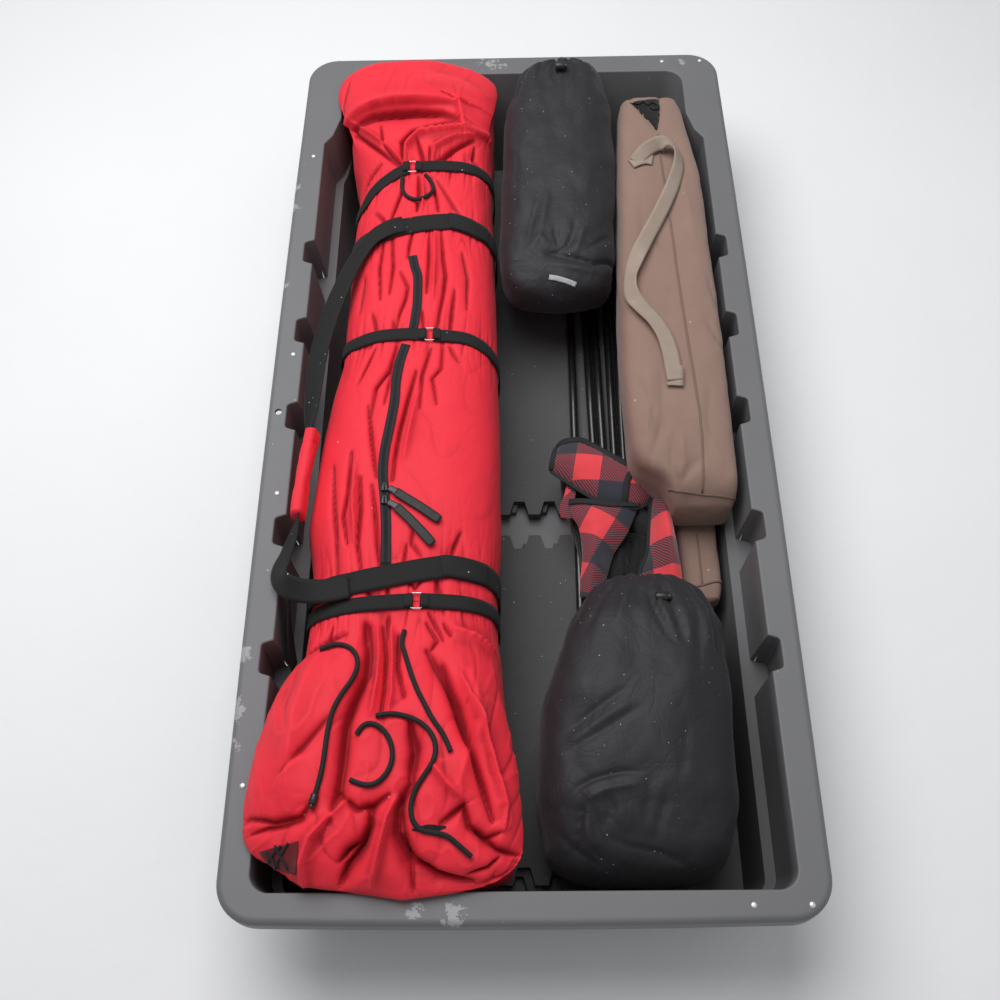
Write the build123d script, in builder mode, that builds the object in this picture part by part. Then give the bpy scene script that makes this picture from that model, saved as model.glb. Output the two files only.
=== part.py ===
"""A packed tow sled for ice fishing: a moulded tub with its load.

The tub carries two stacks of toothed foam floor tiles, the hut folded up in its long bag,
two stuff sacks, a folded chair and two canvas bags. All sizes are millimetres. The origin is
on the ground under the middle of the sled, +Y points to the far (bow) end and +Z is up.
"""
import math
import os
from build123d import *

# Tub: overall size, rim and walls
SLED_LENGTH = 1735.0
SLED_WIDTH = 860.0
SIDE_BOW = 4.5
NEAR_BOW = 5.0
RIM_CORNER = 60.0
RIM_SIDE = 51.0
RIM_NEAR = 45.5
RIM_FAR = 53.5
RIM_LIP = 34.0
RIM_ROUND = 10.0
RIM_INNER_ROUND = 3.0
WALL = 6.0
TUB_DEPTH = 225.0
RUNNER_HEIGHT = 12.0
RUNNER_WIDTH = 44.0
RUNNER_LENGTH = 1450.0
RUNNER_SPACING = 210.0
RUNNER_COUNT = 3
NEAR_CORNER = 28.0
FAR_CORNER = 34.0

# Tub: ledge, drafts and the narrow bow
LEDGE_DROP = 110.0
LEDGE_WIDTH = 16.0
UPPER_DRAFT = 8.0
LOWER_DRAFT = 11.0
NEAR_DRAFT = 9.0
FAR_RAKE = 24.0
NECK_INSET = 29.0
NECK_STEP = 16.0
NECK_START = 618.0
NECK_MIDDLE = 642.0
NECK_END = 690.0

# Tub: stake pockets and rim holes
POCKET_CENTRES = (335.0, 150.0, -35.0, -258.0, -478.0)
POCKET_BACK = 46.0
POCKET_MOUTH = 64.0
POCKET_DEPTH = 18.0
POCKET_FILLET = 7.0
TOW_HOLE_DIAMETER = 12.0
TOW_HOLE_INSET = 19.0
TOW_HOLE_ALONG = -27.0
RIM_HOLE_DIAMETER = 7.0
RIM_HOLE_INSETS = (32.0, 34.0, 32.0, 28.0)
RIM_HOLES_ALONG = (583.0, 95.0, -189.0, -674.0)
RIVET_ACROSS = 313.0
RIVET_CORNER_INSET = 38.0
RIVET_END_INSET = 25.0
CUT_OVERLAP = 1.0

# Foam floor tiles: their gaps to the floor's side, its near end and each other
TILE_THICKNESS = 12.0
TILE_SIDE_GAP = 26.0
TILE_END_GAP = 15.0
TILE_JOINT_GAP = 43.0
TILE_X = 2.0
TILE_SHIFT = 11.0
TOOTH_DEPTH = 27.0
TOOTH_SPACING = 55.6
TOOTH_TIP = 36.0
TOOTH_ANGLE = 106.0

# Clearances of soft and seated pieces
GAP = 0.3

# Floor that the load's places were measured on: half its width, its near end and its far end
PACKED_HALF_FLOOR = 344.0
PACKED_NEAR_FLOOR = -804.0
PACKED_FAR_FLOOR = 766.0

# Heights that the load seats on
FLOOR_TOP = RUNNER_HEIGHT + WALL
RIM_TOP = FLOOR_TOP + TUB_DEPTH
LEDGE_TOP = RIM_TOP - LEDGE_DROP
MAT_TOP = FLOOR_TOP + 2 * TILE_THICKNESS + 2 * GAP
HALF_INSIDE = SLED_WIDTH / 2 - RIM_SIDE
NEAR_INSIDE = -SLED_LENGTH / 2 + RIM_NEAR
FAR_INSIDE = SLED_LENGTH / 2 - RIM_FAR
LEDGE_HALF = HALF_INSIDE - UPPER_DRAFT
LOWER_HALF = LEDGE_HALF - LEDGE_WIDTH
HALF_FLOOR = LOWER_HALF - LOWER_DRAFT
NEAR_FLOOR = NEAR_INSIDE + 2 * NEAR_DRAFT
FAR_FLOOR = FAR_INSIDE - 2 * FAR_RAKE

# Hut bag: the stations run along Y, with the sides in X and the top above the rim
BAG_CORNER = 96.0
BAG_END_CORNER = 60.0
BAG_NEAR_JOIN = -466.0
BAG_FAR_JOIN = 580.0
BAG_STATIONS = (
    (BAG_NEAR_JOIN, -338.0, -30.0, 42.0),
    (-424.0, -336.0, -34.0, 37.0),
    (-332.0, -336.0, -34.0, 37.0),
    (-250.0, -351.0, -28.0, 42.0),
    (-100.0, -341.0, -28.0, 40.0),
    (0.0, -330.0, -30.0, 38.0),
    (84.0, -316.0, -33.0, 34.0),
    (124.0, -316.0, -33.0, 34.0),
    (250.0, -312.0, -36.0, 40.0),
    (328.0, -312.0, -38.0, 38.0),
    (382.0, -312.0, -38.0, 38.0),
    (484.0, -308.0, -42.0, 35.0),
    (524.0, -308.0, -42.0, 35.0),
    (BAG_FAR_JOIN, -326.0, -42.0, 44.0),
)
BAG_NEAR_STATIONS = (
    (-808.0, -300.0, -22.0, -150.0),
    (-780.0, -338.0, -8.0, -190.0),
    (-690.0, -342.0, -10.0, -200.0),
    (BAG_NEAR_JOIN, -338.0, -30.0, -200.0),
)
BAG_FAR_STATIONS = (
    (BAG_FAR_JOIN, -326.0, -42.0, -200.0),
    (690.0, -334.0, -34.0, -196.0),
    (772.0, -322.0, -40.0, -170.0),
)
SKIRT_LIFT = 0.7
SKIRT_CORNER = 15.0
SKIRT_STATIONS = (
    (-815.0, -312.0, -3.0, 40.0),
    (-760.0, -385.0, 7.0, 62.0),
    (-690.0, -394.0, -2.0, 66.0),
    (-532.0, -373.0, -22.0, 55.0),
    (BAG_NEAR_JOIN - GAP, -338.0, -28.0, 42.0),
)
FLAP_STATIONS = (
    (BAG_FAR_JOIN + GAP, -328.0, -42.0, 44.0),
    (640.0, -344.0, -36.0, 46.0),
    (741.0, -366.0, -27.0, 44.0),
    (798.0, -336.0, -64.0, 34.0),
)

# Straps, bands and handle of the hut bag
STRAP_WIDTH = 25.0
STRAP_THICKNESS = 2.0
STRAPS_ALONG = (504.0, 104.0, -405.0)
BUCKLES_ACROSS = (-195.0, -151.0, -157.0)
BAND_WIDTH = 38.0
BAND_THICKNESS = 2.5
BANDS_ALONG = (357.0, -356.0)
BUCKLE_LENGTH = 34.0
BUCKLE_WIDTH = 26.0
BUCKLE_WIRE = 4.0
HANDLE_LOW = -8.0
GRIP_LENGTH = 170.0
GRIP_WIDTH = 26.0
GRIP_HEIGHT = 42.0
GRIP_ROUND = 11.0
GRIP_ALONG = -162.0
GRIP_STAND = 4.9
GRIP_TURN = 4.0

# Zip of the hut bag
ZIP_WIDTH = 24.0
ZIP_THICKNESS = 1.6
ZIP_FAR_ROUTE = ((283.0, -187.0), (250.0, -180.0), (205.0, -176.0), (120.0, -178.0))
ZIP_NEAR_ROUTE = ((88.0, -192.0), (0.0, -205.0), (-100.0, -213.0), (-250.0, -214.0), (-331.0, -206.0))
SLIDER_LENGTH = 16.0
SLIDER_WIDTH = 11.0
SLIDER_HEIGHT = 5.0
SLIDERS_ACROSS = -214.0
SLIDERS_ALONG = (-206.0, -236.0)
PULL_LENGTH = 98.0
PULL_WIDTH = 17.0
PULL_THICKNESS = 2.5
PULL_ACROSS = 48.0
PULL_ALONG = -36.0
PULL_TURNS = (-34.0, -42.0)

# Cords of the hut bag: heights are above the rim
CORD_DIAMETER = 7.5
CORD_ROUTES = {
    "drawcord_left": (
        (-299, -482, 49), (-283, -474, 49), (-262, -475, 49), (-245, -487, 51), (-238, -508, 55),
        (-244, -533, 60), (-259, -558, 62), (-270, -585, 64), (-274, -616, 66), (-275, -649, 68),
        (-278, -681, 71), (-284, -704, 72),
    ),
    "drawcord_right": (
        (-173, -453, 46.5), (-178, -471, 48), (-170, -494, 51), (-161, -523, 59), (-150, -552, 61.5),
        (-137, -577, 63), (-125, -600, 65), (-108, -622, 66.5), (-99, -646, 68),
    ),
    "drawcord_long": (
        (-206, -594, 64.5), (-187, -590, 64.5), (-165, -593, 64.5), (-145, -601, 65.5),
        (-129, -615, 66.5), (-119, -636, 68), (-121, -660, 69.5), (-134, -679, 70.5),
        (-147, -698, 71), (-153, -720, 70), (-150, -741, 69), (-137, -754, 68), (-117, -756, 67),
        (-101, -760, 66.5), (-86, -772, 63), (-69, -786, 58),
    ),
    "drawcord_curl": (
        (-232, -621, 65.7), (-225, -607, 65.2), (-209, -605, 64.8), (-193, -615, 65.7),
        (-182, -634, 67.2), (-179, -656, 68.3), (-186, -677, 69.8), (-201, -692, 70.4),
        (-219, -694, 70.4), (-237, -685, 70.2),
    ),
    "strap_tail_loop": (
        (-214, 486, 40), (-215, 470, 40), (-212, 449, 40.5), (-203, 431, 41), (-186, 421, 41.5),
        (-168, 425, 41.5), (-156, 441, 41), (-153, 460, 40.5), (-159, 476, 40), (-170, 488, 40),
    ),
}
CORD_LOCK_LENGTH = 20.0
CORD_LOCK_DIAMETER = 11.0

# Stuff sacks: stations along Y, sides in X, bottom and top above the rim, corner radius
FAR_SACK_STATIONS = (
    (216.0, 10.0, 160.0, -120.0, -20.0, 45.0),
    (250.0, -18.0, 185.0, -152.0, 14.0, 76.0),
    (330.0, -27.0, 190.0, -160.0, 30.0, 88.0),
    (560.0, -25.0, 201.0, -158.0, 50.0, 94.0),
    (690.0, -16.0, 202.0, -140.0, 58.0, 88.0),
    (770.0, 14.0, 176.0, -70.0, 58.0, 55.0),
    (806.0, 66.0, 132.0, 4.0, 46.0, 18.0),
)
NEAR_SACK_STATIONS = (
    (-806.0, 92.0, 268.0, -130.0, -30.0, 45.0),
    (-770.0, 36.0, 304.0, -186.0, 8.0, 84.0),
    (-690.0, 20.0, 322.0, -200.0, 34.0, 104.0),
    (-540.0, 30.0, 326.0, -200.0, 44.0, 108.0),
    (-420.0, 74.0, 322.0, -196.0, 24.0, 96.0),
    (-352.0, 112.0, 292.0, -170.0, -14.0, 66.0),
    (-331.0, 150.0, 248.0, -140.0, -50.0, 40.0),
)
SACK_TOGGLE_DIAMETER = 17.0
SACK_TOGGLE_LENGTH = 24.0
NEAR_TOGGLE_PLACE = (222.0, -392.0)
FAR_TOGGLE_PLACE = (98.0, 752.0)

# Folded chair: its first tube's place and the gaps between tubes, at its near and far ends
TUBE_DIAMETER = 16.0
TUBE_NEAR_Y = -326.0
TUBE_FAR_Y = 480.0
TUBE_NEAR_X = 107.0
TUBE_FAR_X = 111.0
TUBE_NEAR_GAPS = (24.0, 1.0, 1.0, 1.0)
TUBE_FAR_GAPS = (11.0, 2.0, 11.0, 2.0)
TUBE_ROUND = 3.0
SEAT_STATIONS = (
    (-325.0, 150.0, 246.0, -112.0, 14.0),
    (-290.0, 104.0, 258.0, -98.0, 20.0),
    (-206.0, 92.0, 256.0, -84.0, 20.0),
    (-199.0, 92.0, 194.0, -84.0, 20.0),
    (-120.0, 70.0, 186.0, -82.0, 20.0),
    (-50.0, 70.0, 150.0, -120.0, 14.0),
)

# Canvas bags: stations along Y, sides in X and top above the rim
CANVAS_UPPER_STATIONS = (
    (-194.0, 222.0, 362.0, -4.0),
    (-130.0, 200.0, 366.0, 20.0),
    (30.0, 184.0, 367.0, 30.0),
    (207.0, 186.0, 367.0, 32.0),
    (500.0, 199.0, 362.0, 32.0),
    (606.0, 206.0, 352.0, 28.0),
    (731.0, 216.0, 336.0, 12.0),
)
CANVAS_UPPER_CORNER = 26.0
CANVAS_LOWER_NEAR = -322.0
CANVAS_LOWER_FAR = 560.0
CANVAS_LOWER_LEFT = 262.0
CANVAS_LOWER_CORNER = 24.0
CANVAS_SIDE_GAP = 4.0
CANVAS_HANDLE_WIDTH = 26.0
CANVAS_HANDLE_THICKNESS = 3.0
CANVAS_HANDLE_ROUTE = (
    (262, 511), (268, 540), (284, 557), (304, 555), (317, 538), (320, 505), (310, 465), (286, 407),
    (252, 340), (226, 280), (206, 222), (206, 185), (222, 150), (244, 110), (262, 64), (270, 8),
)

os.makedirs("parts", exist_ok=True)


def across(y, x=0.0, z=0.0):
    """Plane square to the sled's length at y, with its own X along X and its own Y up."""
    return Plane(origin=(x, y, z), x_dir=(1, 0, 0), z_dir=(0, -1, 0))


def save(builder, name):
    """Label a finished piece and write it to its own file."""
    builder.part.label = name
    export_step(builder.part, f"parts/{name}.step")


def place_x(x):
    """X of a load piece, moved with the tub's floor."""
    return x * HALF_FLOOR / PACKED_HALF_FLOOR


def place_y(y):
    """Y of a load piece, moved with the tub's floor."""
    stretch = (FAR_FLOOR - NEAR_FLOOR) / (PACKED_FAR_FLOOR - PACKED_NEAR_FLOOR)
    return NEAR_FLOOR + (y - PACKED_NEAR_FLOOR) * stretch


def placed(stations):
    """Stations of a load piece, y and its two sides moved with the tub's floor."""
    return [(place_y(y), place_x(left), place_x(right), *rest) for y, left, right, *rest in stations]


def between(stations, y, column):
    """Value of one column of a station table at y, straight between the stations."""
    for low, high in zip(stations, stations[1:]):
        if low[0] <= y <= high[0]:
            share = (y - low[0]) / (high[0] - low[0])
            return low[column] + share * (high[column] - low[column])
    raise ValueError("y is outside the stations")


bag_stations = placed(BAG_STATIONS)
far_sack_stations = placed(FAR_SACK_STATIONS)
near_sack_stations = placed(NEAR_SACK_STATIONS)


def bag_top(y, reach=0.0):
    """Height of the hut bag's flat top within reach of y."""
    return RIM_TOP + max(between(bag_stations, y + side * reach, 3) for side in (-1, 0, 1))


def cavity_outline(half, neck, near, far, grow=0.0):
    """Outline of the tub's inside at one height, grown outwards by a wall."""
    side = half + grow
    narrow = neck + grow
    step = side - (half - neck) * NECK_STEP / NECK_INSET
    start = place_y(NECK_START)
    middle = place_y(NECK_MIDDLE)
    end = place_y(NECK_END)
    with BuildSketch() as outline:
        with BuildLine():
            Polyline(
                (-side, near - grow), (side, near - grow), (side, start), (step, middle), (narrow, end),
                (narrow, far + grow), (-narrow, far + grow), (-narrow, end), (-step, middle),
                (-side, start), close=True,
            )
        make_face()
        fillet(outline.vertices().group_by(Axis.Y)[0], NEAR_CORNER + grow)
        fillet(outline.vertices().group_by(Axis.Y)[-1], FAR_CORNER + grow)
    return outline.sketch


def rim_outline(inset=0.0):
    """Outline of the rim, whose long sides and near end bow outwards."""
    half = SLED_WIDTH / 2 - inset
    end = SLED_LENGTH / 2 - inset
    corner = half - SIDE_BOW
    with BuildSketch() as outline:
        with BuildLine():
            ThreePointArc((-corner, NEAR_BOW - end), (0, -end), (corner, NEAR_BOW - end))
            ThreePointArc((corner, NEAR_BOW - end), (half, 0), (corner, end))
            Line((corner, end), (-corner, end))
            ThreePointArc((-corner, end), (-half, 0), (-corner, NEAR_BOW - end))
        make_face()
        fillet(outline.vertices(), RIM_CORNER - inset)
    return outline.sketch


# Inside of the tub at its four heights: half width, half width of the neck, near and far ends
LEDGE_NECK = HALF_INSIDE - NECK_INSET - UPPER_DRAFT
RIM_LEVEL = (HALF_INSIDE, HALF_INSIDE - NECK_INSET, NEAR_INSIDE, FAR_INSIDE)
LEDGE_LEVEL = (LEDGE_HALF, LEDGE_NECK, NEAR_INSIDE + NEAR_DRAFT, FAR_INSIDE - FAR_RAKE)
LOWER_LEVEL = (LOWER_HALF, LEDGE_NECK, NEAR_INSIDE + NEAR_DRAFT, FAR_INSIDE - FAR_RAKE)
FLOOR_LEVEL = (HALF_FLOOR, LEDGE_NECK - LOWER_DRAFT, NEAR_FLOOR, FAR_FLOOR)
rim_left = -SLED_WIDTH / 2
pocket_centres = [place_y(y) for y in POCKET_CENTRES]
rim_holes = [
    (rim_left + inset, place_y(y)) for inset, y in zip(RIM_HOLE_INSETS, RIM_HOLES_ALONG)
]
rivet_end = SLED_LENGTH / 2 - RIVET_END_INSET
rivet_holes = [
    (x, y) for x in (place_x(RIVET_ACROSS), SLED_WIDTH / 2 - RIVET_CORNER_INSET)
    for y in (-rivet_end, rivet_end)
]

with BuildPart() as sled_tub:
    with BuildSketch(Plane.XY.offset(RIM_TOP - RIM_LIP)):
        add(rim_outline())
    extrude(amount=RIM_LIP)
    fillet(sled_tub.faces().sort_by(Axis.Z)[-1].outer_wire().edges(), RIM_ROUND)
    with BuildSketch(Plane.XY.offset(RIM_TOP - RIM_LIP)):
        add(rim_outline(WALL))
    extrude(amount=RIM_LIP - WALL, mode=Mode.SUBTRACT)
    with BuildSketch(Plane.XY.offset(RUNNER_HEIGHT)):
        add(cavity_outline(*FLOOR_LEVEL, grow=WALL))
    with BuildSketch(Plane.XY.offset(LEDGE_TOP - WALL)):
        add(cavity_outline(*LOWER_LEVEL, grow=WALL))
    loft(ruled=True)
    with BuildSketch(Plane.XY.offset(LEDGE_TOP - WALL)):
        add(cavity_outline(*LEDGE_LEVEL, grow=WALL))
    with BuildSketch(Plane.XY.offset(RIM_TOP - WALL / 2)):
        add(cavity_outline(*RIM_LEVEL, grow=WALL))
    loft(ruled=True)
    for y in pocket_centres:
        for side in (-1, 1):
            with BuildSketch(Plane.XY.offset(LEDGE_TOP - WALL)):
                with Locations((side * (HALF_INSIDE + (POCKET_DEPTH + WALL - UPPER_DRAFT) / 2), y)):
                    Rectangle(POCKET_DEPTH + WALL + UPPER_DRAFT, POCKET_BACK + 2 * WALL)
    extrude(amount=LEDGE_DROP + WALL / 2)
    with BuildSketch(Plane.XY.offset(FLOOR_TOP)):
        add(cavity_outline(*FLOOR_LEVEL))
    with BuildSketch(Plane.XY.offset(LEDGE_TOP)):
        add(cavity_outline(*LOWER_LEVEL))
    loft(ruled=True, mode=Mode.SUBTRACT)
    with BuildSketch(Plane.XY.offset(LEDGE_TOP)):
        add(cavity_outline(*LEDGE_LEVEL))
    with BuildSketch(Plane.XY.offset(RIM_TOP)):
        add(cavity_outline(*RIM_LEVEL))
    loft(ruled=True, mode=Mode.SUBTRACT)
    with BuildSketch(Plane.XY.offset(LEDGE_TOP)) as pocket_plan:
        for y in pocket_centres:
            for side in (-1, 1):
                with BuildLine():
                    Polyline(
                        (side * (LEDGE_HALF - CUT_OVERLAP), y - POCKET_MOUTH / 2),
                        (side * (HALF_INSIDE + POCKET_DEPTH), y - POCKET_BACK / 2),
                        (side * (HALF_INSIDE + POCKET_DEPTH), y + POCKET_BACK / 2),
                        (side * (LEDGE_HALF - CUT_OVERLAP), y + POCKET_MOUTH / 2),
                        close=True,
                    )
                make_face()
        fillet(pocket_plan.vertices().group_by(Axis.X)[0], POCKET_FILLET)
        fillet(pocket_plan.vertices().group_by(Axis.X)[-1], POCKET_FILLET)
    extrude(amount=LEDGE_DROP, mode=Mode.SUBTRACT)
    with BuildSketch(Plane.XY.offset(RIM_TOP)):
        with Locations(*rim_holes, *rivet_holes):
            Circle(RIM_HOLE_DIAMETER / 2)
        with Locations((rim_left + TOW_HOLE_INSET, place_y(TOW_HOLE_ALONG))):
            Circle(TOW_HOLE_DIAMETER / 2)
    extrude(amount=-WALL * 2, mode=Mode.SUBTRACT)
    inner_wires = sled_tub.faces().sort_by(Axis.Z)[-1].inner_wires()
    fillet(inner_wires.sort_by(SortBy.LENGTH)[-1].edges(), RIM_INNER_ROUND)
    with BuildSketch(Plane.XY):
        with GridLocations(RUNNER_SPACING, 0, RUNNER_COUNT, 1):
            SlotOverall(RUNNER_LENGTH, RUNNER_WIDTH, rotation=90)
    extrude(amount=RUNNER_HEIGHT)
save(sled_tub, "sled_tub")

# Foam floor tiles: a square with dovetail teeth on all four edges
TILE_SIZE = 2 * (HALF_FLOOR - TILE_SIDE_GAP - TILE_X - TILE_SHIFT)
TILE_BODY = TILE_SIZE - 2 * TOOTH_DEPTH
TEETH_PER_SIDE = round(TILE_BODY / TOOTH_SPACING)
TOOTH_PITCH = TILE_BODY / TEETH_PER_SIDE
TILE_NEAR_Y = NEAR_FLOOR + TILE_END_GAP + TILE_SHIFT + TILE_SIZE / 2
TILE_FAR_Y = TILE_NEAR_Y + TILE_SIZE + TILE_JOINT_GAP
TILE_PLACES = {
    "foam_tile_far_bottom": (TILE_X + TILE_SHIFT, TILE_FAR_Y + TILE_SHIFT, FLOOR_TOP),
    "foam_tile_far_top": (TILE_X, TILE_FAR_Y, FLOOR_TOP + TILE_THICKNESS + GAP),
    "foam_tile_near_bottom": (TILE_X - TILE_SHIFT, TILE_NEAR_Y - TILE_SHIFT, FLOOR_TOP),
    "foam_tile_near_top": (TILE_X, TILE_NEAR_Y, FLOOR_TOP + TILE_THICKNESS + GAP),
}
for name, (x, y, z) in TILE_PLACES.items():
    with BuildPart() as foam_tile:
        with BuildSketch(Plane((x, y, z))):
            Rectangle(TILE_BODY, TILE_BODY)
            with PolarLocations(TILE_BODY / 2, 4):
                with GridLocations(0, TOOTH_PITCH, 1, TEETH_PER_SIDE):
                    with Locations((TOOTH_DEPTH / 2, 0)):
                        Trapezoid(TOOTH_TIP, TOOTH_DEPTH, TOOTH_ANGLE, rotation=90)
        extrude(amount=TILE_THICKNESS)
    save(foam_tile, name)


def on_mats(bottom):
    """Height of a bottom that is given above the rim, kept clear of the tiles."""
    return max(RIM_TOP + bottom, MAT_TOP + GAP)


def soft_section(y, left, right, bottom, top, corner):
    """One cross-section of a soft piece."""
    radius = min(corner, (right - left) * 0.46, (top - bottom) * 0.46)
    with BuildSketch(across(y, (left + right) / 2, (bottom + top) / 2)) as section:
        RectangleRounded(right - left, top - bottom, radius)
    return section.sketch


# Hut bag: a long roll with a full end at each side of its cinched middle, lying on its bands
BAG_BOTTOM = MAT_TOP + BAND_THICKNESS + 2 * GAP
with BuildPart() as hut_bag:
    loft(
        [
            soft_section(y, left, right, BAG_BOTTOM, RIM_TOP + top, BAG_CORNER)
            for y, left, right, top in bag_stations
        ],
        ruled=True,
    )
    for stations in (BAG_NEAR_STATIONS, BAG_FAR_STATIONS):
        loft(
            [
                soft_section(
                    y, left, right, max(RIM_TOP + bottom, BAG_BOTTOM), RIM_TOP + GAP, BAG_END_CORNER
                )
                for y, left, right, bottom in placed(stations)
            ],
            ruled=True,
        )
save(hut_bag, "hut_bag_body")

for name, stations in (("hut_bag_near_end", SKIRT_STATIONS), ("hut_bag_far_end", FLAP_STATIONS)):
    with BuildPart() as bag_end:
        loft(
            [
                soft_section(y, left, right, RIM_TOP + SKIRT_LIFT, RIM_TOP + top, SKIRT_CORNER)
                for y, left, right, top in placed(stations)
            ],
            ruled=True,
        )
    save(bag_end, name)


def bag_flank(y, height, out):
    """X of the hut bag's left flank at y and at a height above the rim, set out from it."""
    corner = BAG_CORNER + out
    rise = max(corner - (between(bag_stations, y, 3) + out - height), 0.0)
    return between(bag_stations, y, 1) - out + corner - math.sqrt(corner**2 - rise**2)


def bag_ring(name, y, width, thickness):
    """A webbing ring around the hut bag, whose section is even there."""
    left = between(bag_stations, y, 1)
    right = between(bag_stations, y, 2)
    inner_width = right - left + 2 * GAP
    inner_height = bag_top(y) - BAG_BOTTOM + 2 * GAP
    radius = BAG_CORNER + GAP
    middle = (BAG_BOTTOM + bag_top(y)) / 2
    with BuildPart() as ring:
        with BuildSketch(across(y + width / 2, (left + right) / 2, middle)):
            RectangleRounded(inner_width + 2 * thickness, inner_height + 2 * thickness, radius + thickness)
            RectangleRounded(inner_width, inner_height, radius, mode=Mode.SUBTRACT)
        extrude(amount=width)
    save(ring, name)


strap_places = [place_y(y) for y in STRAPS_ALONG]
band_places = [place_y(y) for y in BANDS_ALONG]
for index, (y, x) in enumerate(zip(strap_places, BUCKLES_ACROSS), start=1):
    bag_ring(f"compression_strap_{index}", y, STRAP_WIDTH, STRAP_THICKNESS)
    buckle_z = bag_top(y) + GAP + STRAP_THICKNESS + GAP
    with BuildPart() as buckle:
        with BuildSketch(Plane((place_x(x), y, buckle_z))):
            RectangleRounded(BUCKLE_WIDTH, BUCKLE_LENGTH, BUCKLE_WIRE)
            Rectangle(BUCKLE_WIDTH - 2 * BUCKLE_WIRE, BUCKLE_LENGTH - 2 * BUCKLE_WIRE, mode=Mode.SUBTRACT)
            Rectangle(BUCKLE_WIRE, BUCKLE_LENGTH - 2 * BUCKLE_WIRE)
        extrude(amount=BUCKLE_WIRE)
    save(buckle, f"strap_buckle_{index}")

for name, y in zip(("carry_band_far", "carry_band_near"), band_places):
    bag_ring(name, y, BAND_WIDTH, BAND_THICKNESS)


def upright_band(name, route):
    """Webbing on edge along a plan route, at the height of the carry handle."""
    reach = BAND_THICKNESS / 2
    with BuildPart() as band:
        with BuildSketch(Plane.XY.offset(RIM_TOP + HANDLE_LOW)):
            Polygon(*ribbon(route, reach), align=None)
        extrude(amount=BAND_WIDTH)
    save(band, name)


def ribbon(route, reach):
    """Closed outline of a strip that reaches to both sides of a plan route."""
    sides = ([], [])
    for index, point in enumerate(route):
        before = Vector(*route[max(index - 1, 0)])
        after = Vector(*route[min(index + 1, len(route) - 1)])
        normal = (after - before).normalized().rotate(Axis.Z, 90)
        for side, reached in zip(sides, (normal * reach, normal * -reach)):
            corner = Vector(*point) + reached
            side.append((corner.X, corner.Y))
    return sides[0] + sides[1][::-1]


# The carry handle: webbing along the bag's left flank to a rolled grip
GRIP_REACH = GRIP_LENGTH / 2 + GAP
GRIP_SLOPE = math.tan(math.radians(GRIP_TURN))
grip_y = place_y(GRIP_ALONG)
grip_x = bag_flank(grip_y, HANDLE_LOW, GAP) - GRIP_STAND - GRIP_WIDTH / 2
grip_far = (grip_x + GRIP_REACH * GRIP_SLOPE, grip_y + GRIP_REACH)
grip_near = (grip_x - GRIP_REACH * GRIP_SLOPE, grip_y - GRIP_REACH)
HANDLE_SEAT = GAP + BAND_THICKNESS / 2
far_band_y, near_band_y = band_places
middle_strap_y = strap_places[1]
far_band_x = bag_flank(far_band_y, HANDLE_LOW, GAP + BAND_THICKNESS) - HANDLE_SEAT
near_band_x = bag_flank(near_band_y, HANDLE_LOW, GAP + BAND_THICKNESS) - HANDLE_SEAT
strap_x = bag_flank(middle_strap_y, HANDLE_LOW, GAP + STRAP_THICKNESS) - HANDLE_SEAT
upright_band(
    "carry_handle_far",
    (
        (far_band_x, far_band_y + BAND_WIDTH / 2),
        (far_band_x, far_band_y - BAND_WIDTH / 2),
        (strap_x, middle_strap_y + STRAP_WIDTH),
        (strap_x - 2 * BAND_THICKNESS, middle_strap_y - STRAP_WIDTH),
        grip_far,
    ),
)
upright_band(
    "carry_handle_near",
    (
        grip_near,
        (near_band_x - 2 * BAND_THICKNESS, near_band_y + BAND_WIDTH),
        (near_band_x, near_band_y + BAND_WIDTH / 2),
        (near_band_x, near_band_y - BAND_WIDTH / 2),
    ),
)
with BuildPart() as handle_grip:
    grip_plane = Plane(
        origin=(grip_x, grip_y, RIM_TOP + HANDLE_LOW + BAND_WIDTH / 2),
        x_dir=(math.cos(math.radians(GRIP_TURN)), -math.sin(math.radians(GRIP_TURN)), 0),
        z_dir=(-math.sin(math.radians(GRIP_TURN)), -math.cos(math.radians(GRIP_TURN)), 0),
    )
    with BuildSketch(grip_plane):
        RectangleRounded(GRIP_WIDTH, GRIP_HEIGHT, GRIP_ROUND)
    extrude(amount=GRIP_LENGTH / 2, both=True)
save(handle_grip, "handle_grip")

# Zip: two stretches of tape between the straps, sliders and pull tabs
with BuildPart() as zip_tape:
    for route in (ZIP_FAR_ROUTE, ZIP_NEAR_ROUTE):
        for y, x in route:
            zip_y = place_y(y)
            with BuildSketch(across(zip_y, place_x(x), bag_top(zip_y) + GAP + ZIP_THICKNESS / 2)):
                Rectangle(ZIP_WIDTH, ZIP_THICKNESS)
        loft(ruled=True)
save(zip_tape, "zip_tape")

for index, y in enumerate(map(place_y, SLIDERS_ALONG), start=1):
    slider_z = bag_top(y, SLIDER_LENGTH / 2) + ZIP_THICKNESS + 2 * GAP
    with BuildPart() as slider:
        with BuildSketch(Plane((place_x(SLIDERS_ACROSS), y, slider_z))):
            RectangleRounded(SLIDER_WIDTH, SLIDER_LENGTH, SLIDER_WIDTH / 4)
        extrude(amount=SLIDER_HEIGHT)
    save(slider, f"zip_slider_{index}")

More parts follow.
